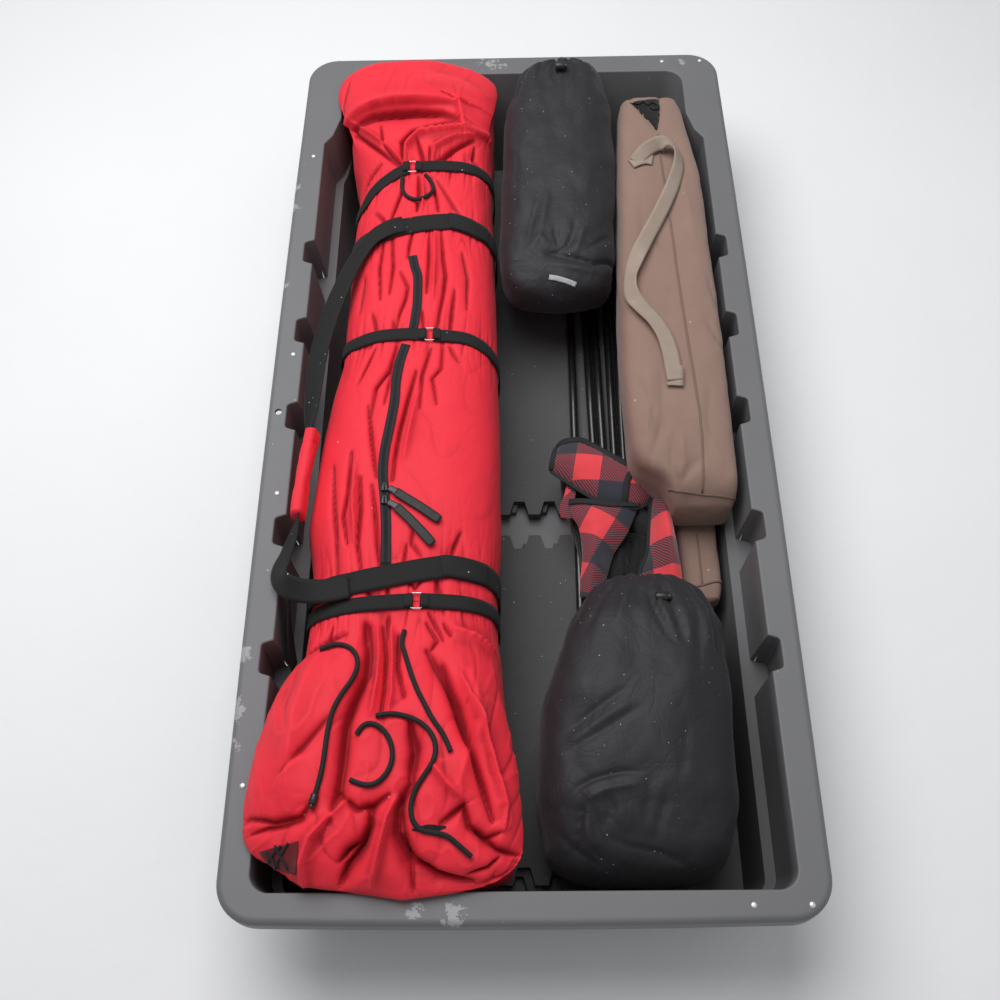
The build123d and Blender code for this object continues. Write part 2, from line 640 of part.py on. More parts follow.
for index, (slider_y, turn) in enumerate(zip(SLIDERS_ALONG, PULL_TURNS), start=1):
    x = place_x(SLIDERS_ACROSS) + PULL_ACROSS
    y = place_y(slider_y) + PULL_ALONG
    pull_z = bag_top(y, PULL_LENGTH / 3) + ZIP_THICKNESS + 2 * GAP
    pull_plane = Plane((x, y, pull_z)).rotated((0, 0, turn))
    with BuildPart() as pull:
        with BuildSketch(pull_plane):
            RectangleRounded(PULL_LENGTH, PULL_WIDTH, PULL_WIDTH / 4)
        extrude(amount=PULL_THICKNESS)
    save(pull, f"zip_pull_{index}")


def cord_radii(points):
    """Radius at each corner of a cord, 0.45 of the shorter run over the tangent of half the turn."""
    radii = []
    for before, corner, after in zip(points, points[1:], points[2:]):
        first = corner - before
        second = after - corner
        half_turn = math.radians(first.get_angle(second)) / 2
        radii.append(0.45 * min(first.length, second.length) / math.tan(half_turn))
    return radii


for name, route in CORD_ROUTES.items():
    points = [Vector(x, y, RIM_TOP + height) for x, y, height in route]
    radii = cord_radii(points)
    with BuildPart() as cord:
        with BuildLine() as cord_line:
            FilletPolyline(*points, radius=radii)
        with BuildSketch(Plane(origin=points[0], z_dir=points[1] - points[0])):
            Circle(CORD_DIAMETER / 2)
        sweep(path=cord_line.line)
    length = sum(edge.length for edge in cord_line.edges())
    fill = cord.part.volume / (math.pi * CORD_DIAMETER**2 / 4 * length)
    print(f"{name}: length {length:.1f}, tightest radius {min(radii):.1f}, volume share {fill:.4f}")
    save(cord, name)

lock_points = [Vector(x, y, RIM_TOP + height) for x, y, height in CORD_ROUTES["drawcord_left"][-2:]]
lock_axis = (lock_points[1] - lock_points[0]).normalized()
with BuildPart() as cord_lock:
    with BuildSketch(Plane(origin=lock_points[1] + lock_axis * GAP, z_dir=lock_axis)):
        Circle(CORD_LOCK_DIAMETER / 2)
    extrude(amount=CORD_LOCK_LENGTH)
save(cord_lock, "drawcord_lock")

# Stuff sacks with a toggle each
for name, stations in (("stuff_sack_far", far_sack_stations), ("stuff_sack_near", near_sack_stations)):
    with BuildPart() as sack:
        loft(
            [
                soft_section(y, left, right, on_mats(bottom), RIM_TOP + top, corner)
                for y, left, right, bottom, top, corner in stations
            ],
            ruled=True,
        )
    save(sack, name)

for name, place, stations in (
    ("sack_toggle_far", FAR_TOGGLE_PLACE, far_sack_stations),
    ("sack_toggle_near", NEAR_TOGGLE_PLACE, near_sack_stations),
):
    x = place_x(place[0])
    y = place_y(place[1])
    tops = [(station_y, top) for station_y, _, _, _, top, _ in stations]
    ahead = between(tops, y + SACK_TOGGLE_DIAMETER / 2, -1)
    behind = between(tops, y - SACK_TOGGLE_DIAMETER / 2, -1)
    slope = math.atan2(ahead - behind, SACK_TOGGLE_DIAMETER)
    toggle_lift = (SACK_TOGGLE_DIAMETER / 2 + GAP) / math.cos(slope)
    toggle_z = RIM_TOP + between(tops, y, -1) + toggle_lift
    with BuildPart() as toggle:
        with BuildSketch(Plane(origin=(x, y, toggle_z), z_dir=(1, 0, 0))):
            Circle(SACK_TOGGLE_DIAMETER / 2)
        extrude(amount=SACK_TOGGLE_LENGTH / 2, both=True)
        fillet(toggle.edges(), TUBE_ROUND)
    save(toggle, name)

# Folded chair: tubes on the tiles with the seat cloth bunched over them
tube_z = MAT_TOP + TUBE_DIAMETER / 2 + GAP
for index in range(len(TUBE_NEAR_GAPS) + 1):
    near_x = place_x(TUBE_NEAR_X) + index * TUBE_DIAMETER + sum(TUBE_NEAR_GAPS[:index])
    far_x = place_x(TUBE_FAR_X) + index * TUBE_DIAMETER + sum(TUBE_FAR_GAPS[:index])
    tube_start = Vector(near_x, place_y(TUBE_NEAR_Y), tube_z)
    tube_run = Vector(far_x, place_y(TUBE_FAR_Y), tube_z) - tube_start
    with BuildPart() as tube:
        with BuildSketch(Plane(origin=tube_start, z_dir=tube_run)):
            Circle(TUBE_DIAMETER / 2)
        extrude(amount=tube_run.length)
        fillet(tube.edges().filter_by(GeomType.CIRCLE), TUBE_ROUND)
    save(tube, f"chair_tube_{index + 1}")

SEAT_BOTTOM = MAT_TOP + TUBE_DIAMETER + 2 * GAP
with BuildPart() as chair_seat:
    loft(
        [
            soft_section(y, left, right, SEAT_BOTTOM, RIM_TOP + top, corner)
            for y, left, right, top, corner in placed(SEAT_STATIONS)
        ],
        ruled=True,
    )
save(chair_seat, "chair_seat_cloth")

# Canvas bags: one on the floor and one above it on the ledge
CANVAS_UPPER_BOTTOM = LEDGE_TOP + GAP
with BuildPart() as canvas_upper:
    loft(
        [
            soft_section(y, left, right, CANVAS_UPPER_BOTTOM, RIM_TOP + top, CANVAS_UPPER_CORNER)
            for y, left, right, top in placed(CANVAS_UPPER_STATIONS)
        ],
        ruled=True,
    )
save(canvas_upper, "canvas_bag_upper")

canvas_lower_right = HALF_FLOOR - CANVAS_SIDE_GAP
with BuildPart() as canvas_lower:
    loft(
        [
            soft_section(
                place_y(y), place_x(CANVAS_LOWER_LEFT), canvas_lower_right, MAT_TOP + GAP,
                CANVAS_UPPER_BOTTOM - GAP, CANVAS_LOWER_CORNER,
            )
            for y in (CANVAS_LOWER_NEAR, CANVAS_LOWER_FAR)
        ],
        ruled=True,
    )
save(canvas_lower, "canvas_bag_lower")

canvas_top = RIM_TOP + max(top for _, _, _, top in CANVAS_UPPER_STATIONS) + GAP
with BuildPart() as canvas_handle:
    with BuildSketch(Plane.XY.offset(canvas_top)):
        handle_route = [(place_x(x), place_y(y)) for x, y in CANVAS_HANDLE_ROUTE]
        Polygon(*ribbon(handle_route, CANVAS_HANDLE_WIDTH / 2), align=None)
    extrude(amount=CANVAS_HANDLE_THICKNESS)
save(canvas_handle, "canvas_bag_handle")
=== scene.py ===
"""A packed ice fishing sled: the cloth, webbing, cords and finishes over its CAD frame."""
import math
import bmesh
import bpy
import numpy as np
from mathutils import Matrix, Vector, noise
from mathutils.bvhtree import BVHTree


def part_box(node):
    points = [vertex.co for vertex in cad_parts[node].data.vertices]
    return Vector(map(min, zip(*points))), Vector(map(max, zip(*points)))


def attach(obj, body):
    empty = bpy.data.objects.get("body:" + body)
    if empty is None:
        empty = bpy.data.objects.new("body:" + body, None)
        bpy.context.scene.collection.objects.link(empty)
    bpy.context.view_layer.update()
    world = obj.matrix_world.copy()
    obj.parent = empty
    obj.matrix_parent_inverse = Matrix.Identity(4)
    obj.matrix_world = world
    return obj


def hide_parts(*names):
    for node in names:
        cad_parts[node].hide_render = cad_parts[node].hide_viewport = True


bl_info = {
    "name": "Packed tow sled",
    "version": (1, 0, 0),
    "blender": (4, 5, 0),
    "location": "View3D > Sidebar > Packed sled",
    "description": "Dresses a packed ice fishing sled with cloth, webbing, cords and finishes",
    "category": "Object",
}

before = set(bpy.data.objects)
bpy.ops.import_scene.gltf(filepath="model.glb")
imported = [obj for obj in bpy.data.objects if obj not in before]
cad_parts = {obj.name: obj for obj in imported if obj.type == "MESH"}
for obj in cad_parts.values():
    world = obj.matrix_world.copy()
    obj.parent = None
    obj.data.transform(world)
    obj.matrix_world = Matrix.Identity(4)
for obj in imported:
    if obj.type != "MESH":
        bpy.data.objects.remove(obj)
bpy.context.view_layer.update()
BODY = "root"

# Heights above the ground in millimetres: the tub's rim, and where the load's parts rest
RIM = 243.0
BAG_SEAT = 45.9
SACK_SEAT = BAG_SEAT - 0.9
CHAIR_SEAT = 43.4
LOWER_CANVAS_SEAT = 43.6
UPPER_CANVAS_SEAT = 134.2

# How far the load may reach in the tub: along the sled and to its right wall
BAG_IN_WELL = (-818.0, 803.0)
BAG_ON_RIM = (-842.0, 830.0)
SACK_IN_WELL = (-808.0, 808.0)
CANVAS_RIGHT = 368.0

# Painted shade darkens the well: from none to all of it between these places along the sled
WELL_SHADE_FROM_TO = (-250, -620)
WELL_SHADE_BELOW_RIM = (8, 34)
WELL_SHADE_SHARE = 0.75
WELL_SHADE_TONE = 0.22

# Places closer than this, in metres, are one place
SAME_PLACE = 1e-6
UP = Vector((0, 0, 1))
# A height in metres over everything, from which a cloth is looked for
OVERHEAD = 0.6

# The slot of the frame that a finish is for, where it doesn't have the finish's own name
SLOTS = {
    "hut_cloth": "red_cloth", "vent_mesh": "red_cloth", "pull_link": "pull_rubber",
    "sack_cloth": "black_nylon", "label_cloth": "black_nylon", "chair_lining": "check_cloth",
    "binding": "check_cloth", "canvas": "brown_canvas", "seam_cloth": "brown_canvas",
    "rivet_metal": "tub_plastic",
}

# Surfaces that later pieces lie on, and finishes that they take, by name
surfaces = {}
finishes = {}


# ---- Routes and folds


def metres(points):
    """Points in metres from millimetres, whose heights are above the rim."""
    return [Vector((x / 1000, y / 1000, (RIM + h) / 1000)) for x, y, h in points]


def through(points, steps):
    """A smooth line through points, with steps places between each two."""
    table = np.array(points, float)
    padded = np.vstack([2 * table[0] - table[1], table, 2 * table[-1] - table[-2]])
    made = []
    for before, start, end, after in zip(padded, padded[1:], padded[2:], padded[3:]):
        for step in range(steps):
            t = step / steps
            made.append(0.5 * (
                2 * start + (end - before) * t + (2 * before - 5 * start + 4 * end - after) * t**2
                + (3 * start - before - 3 * end + after) * t**3
            ))
    made.append(table[-1])
    return np.array(made)


def posed(route):
    """A smooth line and its facings from pairs of a place above the rim and a facing."""
    places = metres([place for place, _ in route])
    return through(places, 8), unit(through([way for _, way in route], 8))


def unit(vectors):
    return vectors / np.maximum(np.linalg.norm(vectors, axis=-1, keepdims=True), 1e-9)


def ease(low, high, value):
    """Smooth step from 0 at low to 1 at high."""
    share = np.clip((value - low) / (high - low), 0.0, 1.0)
    return share * share * (3 - 2 * share)


def sampled(noise_at, first, second, seed):
    """A noise over two arrays of coordinates."""
    flat = [noise_at(Vector((a, b, seed))) for a, b in zip(first.ravel(), second.ravel())]
    return np.array(flat).reshape(first.shape)


def wrinkle(first, second, seed):
    """Soft noise over two arrays of coordinates, about -1 to 1."""
    return sampled(lambda place: noise.fractal(place, 0.9, 2.1, 2), first, second, seed)


def creases(first, second, seed, width):
    """Thin wandering lines over two arrays of coordinates, 1 on the line and 0 away from it."""
    return np.exp(-np.abs(sampled(noise.noise, first, second, seed)) / width)


def fold_heights(x, y, folds):
    """Sum of the folds at plan places, in millimetres; a fold is (height, left, right, line)."""
    blunt = 0.012
    total = np.zeros_like(x)
    for height, left, right, line in folds:
        nearest = np.full_like(x, 1e9)
        side = np.zeros_like(x)
        share = np.zeros_like(x)
        runs = [math.dist(a, b) for a, b in zip(line, line[1:])]
        done = 0.0
        for (ax, ay), (bx, by), run in zip(line, line[1:], runs):
            dx = (bx - ax) / run
            dy = (by - ay) / run
            along = np.clip((x - ax) * dx + (y - ay) * dy, 0.0, run)
            gap = np.hypot(x - ax - along * dx, y - ay - along * dy)
            closer = gap < nearest
            nearest = np.where(closer, gap, nearest)
            side = np.where(closer, (x - ax) * dy - (y - ay) * dx, side)
            share = np.where(closer, (done + along) / sum(runs), share)
            done += run
        width = np.where(side > 0, right, left)
        reach = np.sqrt((nearest / width) ** 2 + blunt) - math.sqrt(blunt)
        taper = np.sin(np.pi * np.clip(0.08 + 0.84 * share, 0, 1)) ** 0.7
        total += height * taper * (0.4 * np.exp(-reach * 1.3) + 0.6 * np.exp(-reach * 4.2))
    return total


def sunken(heights, rounds):
    """How far each place lies below its smoothed surroundings; more rounds look further round."""
    smooth = heights.copy()
    for _ in range(rounds):
        smooth[1:-1] = (smooth[:-2] + 2 * smooth[1:-1] + smooth[2:]) / 4
        smooth[:, 1:-1] = (smooth[:, :-2] + 2 * smooth[:, 1:-1] + smooth[:, 2:]) / 4
    return smooth - heights


# ---- Forms: wrapped arrays of places in millimetres, rows along the sled and columns round


def rounded_ends(near, far, reach, steps, rows):
    """Where a form's rows lie, close together at its rounded ends, and how full each row is."""
    turn = np.linspace(0, math.pi / 2, steps)
    first = near + reach * (1 - np.cos(turn))
    last = far - reach * (1 - np.cos(turn))
    middle = np.linspace(first[-1], last[-1], rows - 2 * (steps - 1) + 1)[1:-1]
    full = np.concatenate([np.sin(turn), np.ones(len(middle)), np.sin(turn)[::-1]])
    return np.concatenate([first, middle, last[::-1]]), full


def section_at(table, place, reach):
    """A section's values at a place along the sled, evened out over a short reach."""
    around = [place + reach * share for share in (-1, -0.5, 0, 0.5, 1)]
    return [
        np.mean([np.interp(spot, table[:, 0], table[:, k]) for spot in around])
        for k in range(1, table.shape[1])
    ]


def signed_power(value, power):
    return np.sign(value) * np.abs(value) ** power


def rounded_ring(left, right, bottom, top, roundness, columns, dense=0.62):
    """One closed section from the bottom middle round by the left; dense is the top's share."""
    turn = np.linspace(0, 2 * math.pi, 721)
    x = (left + right) / 2 - (right - left) / 2 * signed_power(np.sin(turn), 2 / roundness)
    z = (bottom + top) / 2 - (top - bottom) / 2 * signed_power(np.cos(turn), 2 / roundness)
    run = np.concatenate([[0], np.cumsum(np.hypot(np.diff(x), np.diff(z)))])
    quarter = (1 - dense) / 2
    share = np.linspace(0, 1, columns + 1)
    place = np.interp(share, [0, quarter, 1 - quarter, 1], [0, 0.25, 0.75, 1]) * run[-1]
    return np.interp(place, run, x), np.interp(place, run, z)


def stuffed(sections, rows, columns, roundness, end_turn):
    """The smooth form of a stuffed bag lying along the sled, and each row's fullness."""
    table = np.array(sections, float)
    y, full = rounded_ends(table[0, 0], table[-1, 0], end_turn, 10, rows)
    shape = []
    for place, fullness in zip(y, full):
        left, right, bottom, top = section_at(table, place, 12)
        x, z = rounded_ring(left, right, RIM + bottom, RIM + top, roundness, columns)
        middle_x = (left + right) / 2
        middle_z = RIM + (bottom + top) / 2
        x = middle_x + (x - middle_x) * fullness
        z = middle_z + (z - middle_z) * fullness
        shape.append(np.stack([x, np.full_like(x, place), z], axis=1))
    return np.array(shape), full


def facing_out(places):
    """Outward normals of a form, turned so that its top looks up."""
    wrapped = np.concatenate([places[:, -2:-1], places, places[:, 1:2]], axis=1)
    normals = unit(np.cross(wrapped[:, 2:] - wrapped[:, :-2], np.gradient(places, axis=0)))
    row = len(places) // 2
    top = int(np.argmax(places[row, :, 2]))
    return normals if normals[row, top, 2] > 0 else -normals


def surface_of(*grids):
    """A surface to lie things on, from forms."""
    corners = []
    faces = []
    for places in grids:
        first = len(corners)
        rows, columns = places.shape[:2]
        corners += (places / 1000).reshape(-1, 3).tolist()
        for row in range(rows - 1):
            start = first + row * columns
            faces += [
                (k, k + 1, k + columns + 1, k + columns) for k in range(start, start + columns - 1)
            ]
    return BVHTree.FromPolygons(corners, faces)


def below(cloth, x, y):
    """The top of a cloth under a plan place in metres, and its facing, or None beside it."""
    spot, facing, _, _ = surfaces[cloth].ray_cast(Vector((x, y, OVERHEAD)), -UP)
    return spot, facing


def laid_over(cloth, line, lift, steps=1, upright=False):
    """A smooth line over a cloth along places in plan, lifted in millimetres, and its facings."""
    centre = []
    facing = []
    for x, y in line:
        spot, up = below(cloth, x / 1000, y / 1000)
        if spot is None:
            beside = Vector((x / 1000, y / 1000, (RIM + 30) / 1000))
            spot, up, _, _ = surfaces[cloth].find_nearest(beside)
        up = up if up.z > 0 else -up
        centre.append(spot + (UP if upright else up) * lift / 1000)
        facing.append(up)
    return through(centre, steps), through(facing, steps)


# ---- Pieces


def piece(bm, name, look, nodes=(), slot=None):
    """Turn a finished bmesh into a piece of the sled, in place of nodes of the CAD."""
    bmesh.ops.recalc_face_normals(bm, faces=bm.faces)
    mesh = bpy.data.meshes.new(name)
    bm.normal_update()
    bm.to_mesh(mesh)
    bm.free()
    mesh.shade_smooth()
    made = bpy.data.objects.new(name, mesh)
    bpy.context.scene.collection.objects.link(made)
    mesh.materials.append(finishes[look])
    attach(made, BODY)
    slot or SLOTS.get(look, look)
    if nodes:
        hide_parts(*nodes)
    return made


def cloth_grid(places, width, length, hollows=None):
    """A grid through places in metres, its UV map in metres, with how deep in a fold each lies as
    its share of painted shade.
    """
    rows = places.shape[0] - 1
    columns = places.shape[1] - 1
    bm = bmesh.new()
    flat = bm.loops.layers.uv.new("UVMap")
    bmesh.ops.create_grid(bm, x_segments=columns, y_segments=rows, size=0.5, calc_uvs=True)
    for face in bm.faces:
        for loop in face.loops:
            loop[flat].uv.x *= width
            loop[flat].uv.y *= length
    # Painted shade of the folds: each place's share of it, kept as a point attribute for the
    # finish.
    deep = bm.verts.layers.float.new("painted_shade") if hollows is not None else None
    for vert in bm.verts:
        spot = round((vert.co.y + 0.5) * rows), round((vert.co.x + 0.5) * columns)
        vert.co = places[spot]
        if deep is not None:
            vert[deep] = hollows[spot]
    return bm


def closed_shell(name, places, across, along, look, nodes, hollows=None):
    """A form as one closed padded piece, its ends drawn to a point; across and along in metres."""
    places[0] = places[0].mean(axis=0)
    places[-1] = places[-1].mean(axis=0)
    places[:, -1] = places[:, 0]
    surfaces[name] = surface_of(places)
    bm = cloth_grid(places / 1000, across, along, hollows)
    bmesh.ops.remove_doubles(bm, verts=bm.verts, dist=SAME_PLACE)
    return piece(bm, name, look, nodes)


def thickened(bm, thickness):
    """Turn a grid's faces up and give it a thickness in metres."""
    bm.normal_update()
    if sum(face.normal.z * face.calc_area() for face in bm.faces) < 0:
        bmesh.ops.reverse_faces(bm, faces=bm.faces)
    bmesh.ops.solidify(bm, geom=bm.faces, thickness=thickness)


def cloth_patch(name, cloth, edges, look, slot):
    """A thin patch on a cloth, between its left and right edge lines in plan."""
    columns = 16
    places = []
    for start, end in zip(*(through(edge, 6) for edge in edges)):
        line = [start + (end - start) * k / columns for k in range(columns + 1)]
        places.append(laid_over(cloth, line, 1.1)[0])
    bm = cloth_grid(np.array(places), 0.06, 0.05)
    thickened(bm, 0.0006)
    piece(bm, name, look, slot=slot)


def webbing(
    name, centre, facing, width, thickness, look, nodes=(), closed=False, cells=4, slot=None,
):
    """A webbing strip along a line of places in metres, its broad side facing as told at each."""
    edge_drop = 0.0003
    if closed:
        centre = np.vstack([centre, centre[0]])
        facing = np.vstack([facing, facing[0]])
    ahead = np.gradient(centre, axis=0)
    if closed:
        ahead[0] = ahead[-1] = centre[1] - centre[-2]
    ahead = unit(ahead)
    side = unit(np.cross(ahead, facing))
    up = np.cross(side, ahead)
    length = float(np.linalg.norm(np.diff(centre, axis=0), axis=1).sum())
    share = np.linspace(-0.5, 0.5, cells + 1)
    across = share[None, :] * np.asarray(width).reshape(-1, 1)
    places = centre[:, None, :] + side[:, None, :] * across[:, :, None]
    places -= up[:, None, :] * (np.abs(share * 2) ** 6 * edge_drop)[None, :, None]
    bm = cloth_grid(places, float(np.max(width)), length)
    if closed:
        bmesh.ops.remove_doubles(bm, verts=bm.verts, dist=1e-5)
    bm.normal_update()
    bm.faces.ensure_lookup_table()
    middle = bm.faces[len(bm.faces) // 2]
    spot = np.array(middle.calc_center_median())
    row = int(np.argmin(np.linalg.norm(centre - spot, axis=1)))
    if middle.normal.dot(Vector(up[row])) < 0:
        bmesh.ops.reverse_faces(bm, faces=bm.faces)
    bmesh.ops.solidify(bm, geom=bm.faces, thickness=-thickness)
    return piece(bm, name, look, nodes, slot)


def turn_to(direction):
    """The turn that takes the upright to a direction."""
    return UP.rotation_difference(direction).to_matrix().to_4x4()


def wire_ring(bm, path, radius, sides=10):
    """A round wire along a closed path, added to a bmesh from one circle drawn round it."""
    rings = []
    count = len(path)
    for index, place in enumerate(path):
        ahead = (path[(index + 1) % count] - path[index - 1]).normalized()
        made = bmesh.ops.create_circle(bm, segments=sides, radius=radius)["verts"]
        bmesh.ops.transform(bm, matrix=Matrix.Translation(place) @ turn_to(ahead), verts=made)
        rings.append([edge for edge in bm.edges if edge.verts[0] in made and edge.verts[1] in made])
    for index in range(count):
        bmesh.ops.bridge_loops(bm, edges=rings[index] + rings[(index + 1) % count])


def cord_lock(name, parts, segments, rounding, place, node_name, slot):
    """A barrel with its plunger, each part (low, high, radius), put where place takes it."""
    bm = bmesh.new()
    for low, high, radius in parts:
        made = bmesh.ops.create_cone(
            bm, cap_ends=True, segments=segments, radius1=radius, radius2=radius, depth=high - low,
        )["verts"]
        bmesh.ops.translate(bm, vec=(0, 0, (low + high) / 2), verts=made)
    rims = [e for e in bm.edges if len(e.link_faces) == 2 and e.calc_face_angle(0) > 1]
    bmesh.ops.bevel(
        bm, geom=rims, offset=rounding, segments=2, affect="EDGES", profile=0.5, material=-1,
    )
    bmesh.ops.transform(bm, matrix=place, verts=bm.verts)
    return piece(bm, name, "toggle_plastic", (node_name,), slot)


# ---- Finishes


class Value:
    """An output of a node; sums with it add math nodes to its tree."""

    def __init__(self, socket):
        self.socket = socket

    def out(self, key):
        """Another output of the same node."""
        return Value(self.socket.node.outputs[key])

    def math(self, operation, *others):
        tree = self.socket.id_data
        return node(tree, "ShaderNodeMath", enumerate((self, *others)), operation=operation)

    def __add__(self, other):
        return self.math("ADD", other)

    def __sub__(self, other):
        return self.math("SUBTRACT", other)

    def __mul__(self, other):
        return self.math("MULTIPLY", other)

    def __truediv__(self, other):
        return self.math("DIVIDE", other)


def node(tree, kind, inputs=(), **settings):
    """Add a node, each input a plain value or a Value to link; its first output."""
    made = tree.nodes.new(kind)
    for key, value in settings.items():
        setattr(made, key, value)
    for key, value in dict(inputs).items():
        if isinstance(value, Value):
            tree.links.new(value.socket, made.inputs[key])
        else:
            made.inputs[key].default_value = value
    return Value(made.outputs[0])


def axes(tree, vector):
    """A vector's x, y and z."""
    parts = node(tree, "ShaderNodeSeparateXYZ", {0: vector})
    return parts, parts.out(1), parts.out(2)


def noise_texture(tree, vector, scale, detail, **inputs):
    return node(
        tree, "ShaderNodeTexNoise", {"Vector": vector, "Scale": scale, "Detail": detail, **inputs},
        noise_dimensions="3D",
    )


def weave(tree, vector, threads):
    """Over and under threads on the first two coordinates, as a height from 0 to 1."""
    over, under = [
        (place * threads * math.pi).math("SINE") for place in axes(tree, vector)[:2]
    ]
    return (over * under).math("MULTIPLY_ADD", 0.5, 0.5)


def scattered(tree, vector, scale, share, size):
    """Scattered small specks as a mask: lint, dust and frozen drops."""
    cells = node(tree, "ShaderNodeTexVoronoi", {"Vector": vector, "Scale": scale}, feature="F1")
    chance = node(tree, "ShaderNodeSeparateColor", {0: cells.out("Color")})
    inside = cells.out("Distance").math("LESS_THAN", size * (chance.out(1) + 0.3))
    return chance.math("LESS_THAN", share) * inside


def unevenness(tree, vector, scale):
    """Broad and fine unevenness of a surface, as a value around 0.5."""
    return noise_texture(tree, vector, scale, 4.0, Roughness=0.6)


def crumple(tree, vector, scale):
    """Small sharp creases of thin coated cloth, as a height."""
    bent = noise_texture(tree, vector, scale, 3.0, Roughness=0.55, Distortion=1.2)
    ridge = (bent - 0.5).math("ABSOLUTE") * 4.0
    return ridge.math("MINIMUM", 1.0).math("POWER", 0.6)


# Each shared group: its name and output, its inputs' plain values, and what builds it
GROUPS = (
    ("Thread weave", "Height", {"Threads": 1500.0}, weave),
    ("Scattered specks", "Mask", {"Scale": 90.0, "Share": 0.2, "Size": 0.12}, scattered),
    ("Uneven tone", "Value", {"Scale": 6.0}, unevenness),
    ("Fine crumple", "Height", {"Scale": 30.0}, crumple),
)


def new_group(name, output, numbers, build):
    """A shared shader group that takes a vector and numbers, and gives one number."""
    group = bpy.data.node_groups.new(name, "ShaderNodeTree")
    group.interface.new_socket(name="Vector", in_out="INPUT", socket_type="NodeSocketVector")
    for label, number in numbers.items():
        socket = group.interface.new_socket(
            name=label, in_out="INPUT", socket_type="NodeSocketFloat",
        )
        socket.default_value = number
    group.interface.new_socket(name=output, in_out="OUTPUT", socket_type="NodeSocketFloat")
    given = group.nodes.new("NodeGroupInput")
    made = group.nodes.new("NodeGroupOutput")
    taken = [Value(given.outputs[label]) for label in ("Vector", *numbers)]
    group.links.new(build(group, *taken).socket, made.inputs[output])


class Finish:
    """A material in the making: plain values on its own shader, then nodes linked to them."""

    def __init__(self, name, base, roughness, **sockets):
        material = bpy.data.materials.new(name)
        finishes[name] = material
        material.use_nodes = True
        self.base = tuple(base)
        self.tree = material.node_tree
        self.shader = self.tree.nodes["Principled BSDF"]
        for key, value in {"Base_Color": (*base, 1.0), "Roughness": roughness, **sockets}.items():
            self.shader.inputs[key.replace("_", " ")].default_value = value
        where = node(self.tree, "ShaderNodeTexCoord")
        self.solid = where.out("Object")
        self.flat = where.out("UV")

    def link(self, value, name):
        self.tree.links.new(value.socket, self.shader.inputs[name])

    def group(self, name, vector, **numbers):
        return node(
            self.tree, "ShaderNodeGroup", {"Vector": vector, **numbers},
            node_tree=bpy.data.node_groups[name],
        )

    def uneven(self, scale):
        return self.group("Uneven tone", self.solid, Scale=scale)

    def specks(self, scale, share, size):
        return self.group("Scattered specks", self.solid, Scale=scale, Share=share, Size=size)

    def mixed(self, share, first, second):
        """A colour between two, each a plain colour or one made by nodes."""
        shades = [shade if isinstance(shade, Value) else (*shade, 1.0) for shade in (first, second)]
        return node(
            self.tree, "ShaderNodeMix", {0: share, 6: shades[0], 7: shades[1]}, data_type="RGBA",
        ).out(2)

    def toned(self, uneven, depth):
        """Base colour that wanders a little darker and lighter."""
        darker = [value * (1 - depth) for value in self.base]
        lighter = [min(value * (1 + depth), 1.0) for value in self.base]
        return self.mixed(uneven, darker, lighter)

    def bumps(self, *heights):
        """Chain bumps, each (height, depth in metres, strength), into the shader's normal."""
        before = {}
        for height, depth, strength in heights:
            inputs = {"Height": height, "Distance": depth, "Strength": strength, **before}
            before = {"Normal": node(self.tree, "ShaderNodeBump", inputs)}
        self.link(before["Normal"], "Normal")


def cloth_finish(
    name, base, roughness, threads, depth, specks, tone=0.07, sheen=0.15, scale=26.0, painted_shade=None,
    shine=0.35,
):
    """Woven cloth: threads, fine creases, specks and, where told, painted shade: a deeper colour in
    its folds.
    """
    made = Finish(
        name, base, roughness, Sheen_Weight=sheen, Sheen_Roughness=0.5, Specular_IOR_Level=shine,
    )
    colour = made.toned(made.uneven(9.0), tone)
    # Painted shade: the colour turns towards the given deep one where the attribute marks a deep
    # fold.
    if painted_shade:
        deep = node(made.tree, "ShaderNodeAttribute", attribute_name="painted_shade").out("Fac")
        colour = made.mixed(deep, colour, painted_shade)
    *spread, strength = specks
    mask = made.specks(*spread)
    made.link(made.mixed(mask * strength, colour, (0.75, 0.76, 0.78)), "Base Color")
    made.bumps(
        (made.group("Fine crumple", made.solid, Scale=scale), depth, 0.5),
        (made.uneven(45.0), 0.002, 0.35),
        (made.group("Thread weave", made.flat, Threads=threads), 0.00012, 0.4),
    )


def webbing_finish(name, base, specks=0.08):
    """Woven strap: ribs across the strip, raised edges, a few caught specks."""
    made = Finish(
        name, base, 0.72, Sheen_Weight=0.06, Sheen_Roughness=0.4, Specular_IOR_Level=0.3,
    )
    across, along, _ = axes(made.tree, made.flat)
    ribs = (along * (math.tau / 0.0016)).math("SINE")
    threads = (across * (math.tau / 0.0024)).math("SINE")
    uneven = made.uneven(25.0)
    mask = made.specks(140.0, specks, 0.16)
    made.link(made.mixed(mask * 0.8, made.toned(uneven, 0.18), (0.5, 0.5, 0.52)), "Base Color")
    weaving = (ribs * threads).math("MULTIPLY_ADD", 0.35, ribs)
    made.bumps((uneven, 0.002, 0.3), (weaving, 0.0002, 0.6))


def cord_finish(name, base):
    """Braided cord: small raised cells and an uneven tone."""
    made = Finish(name, base, 0.7, Sheen_Weight=0.1, Sheen_Roughness=0.4, Specular_IOR_Level=0.35)
    braid = node(
        made.tree, "ShaderNodeTexVoronoi", {"Vector": made.solid, "Scale": 700.0}, feature="F1",
    ).out("Distance")
    made.link(made.toned(made.uneven(120.0), 0.35), "Base Color")
    made.bumps((braid, 0.0005, 0.6))


def share_between(value, none, full):
    """0 where the value is at none, 1 where it is at full or beyond."""
    return ((value - none) / (full - none)).math("MINIMUM", 1.0).math("MAXIMUM", 0.0)


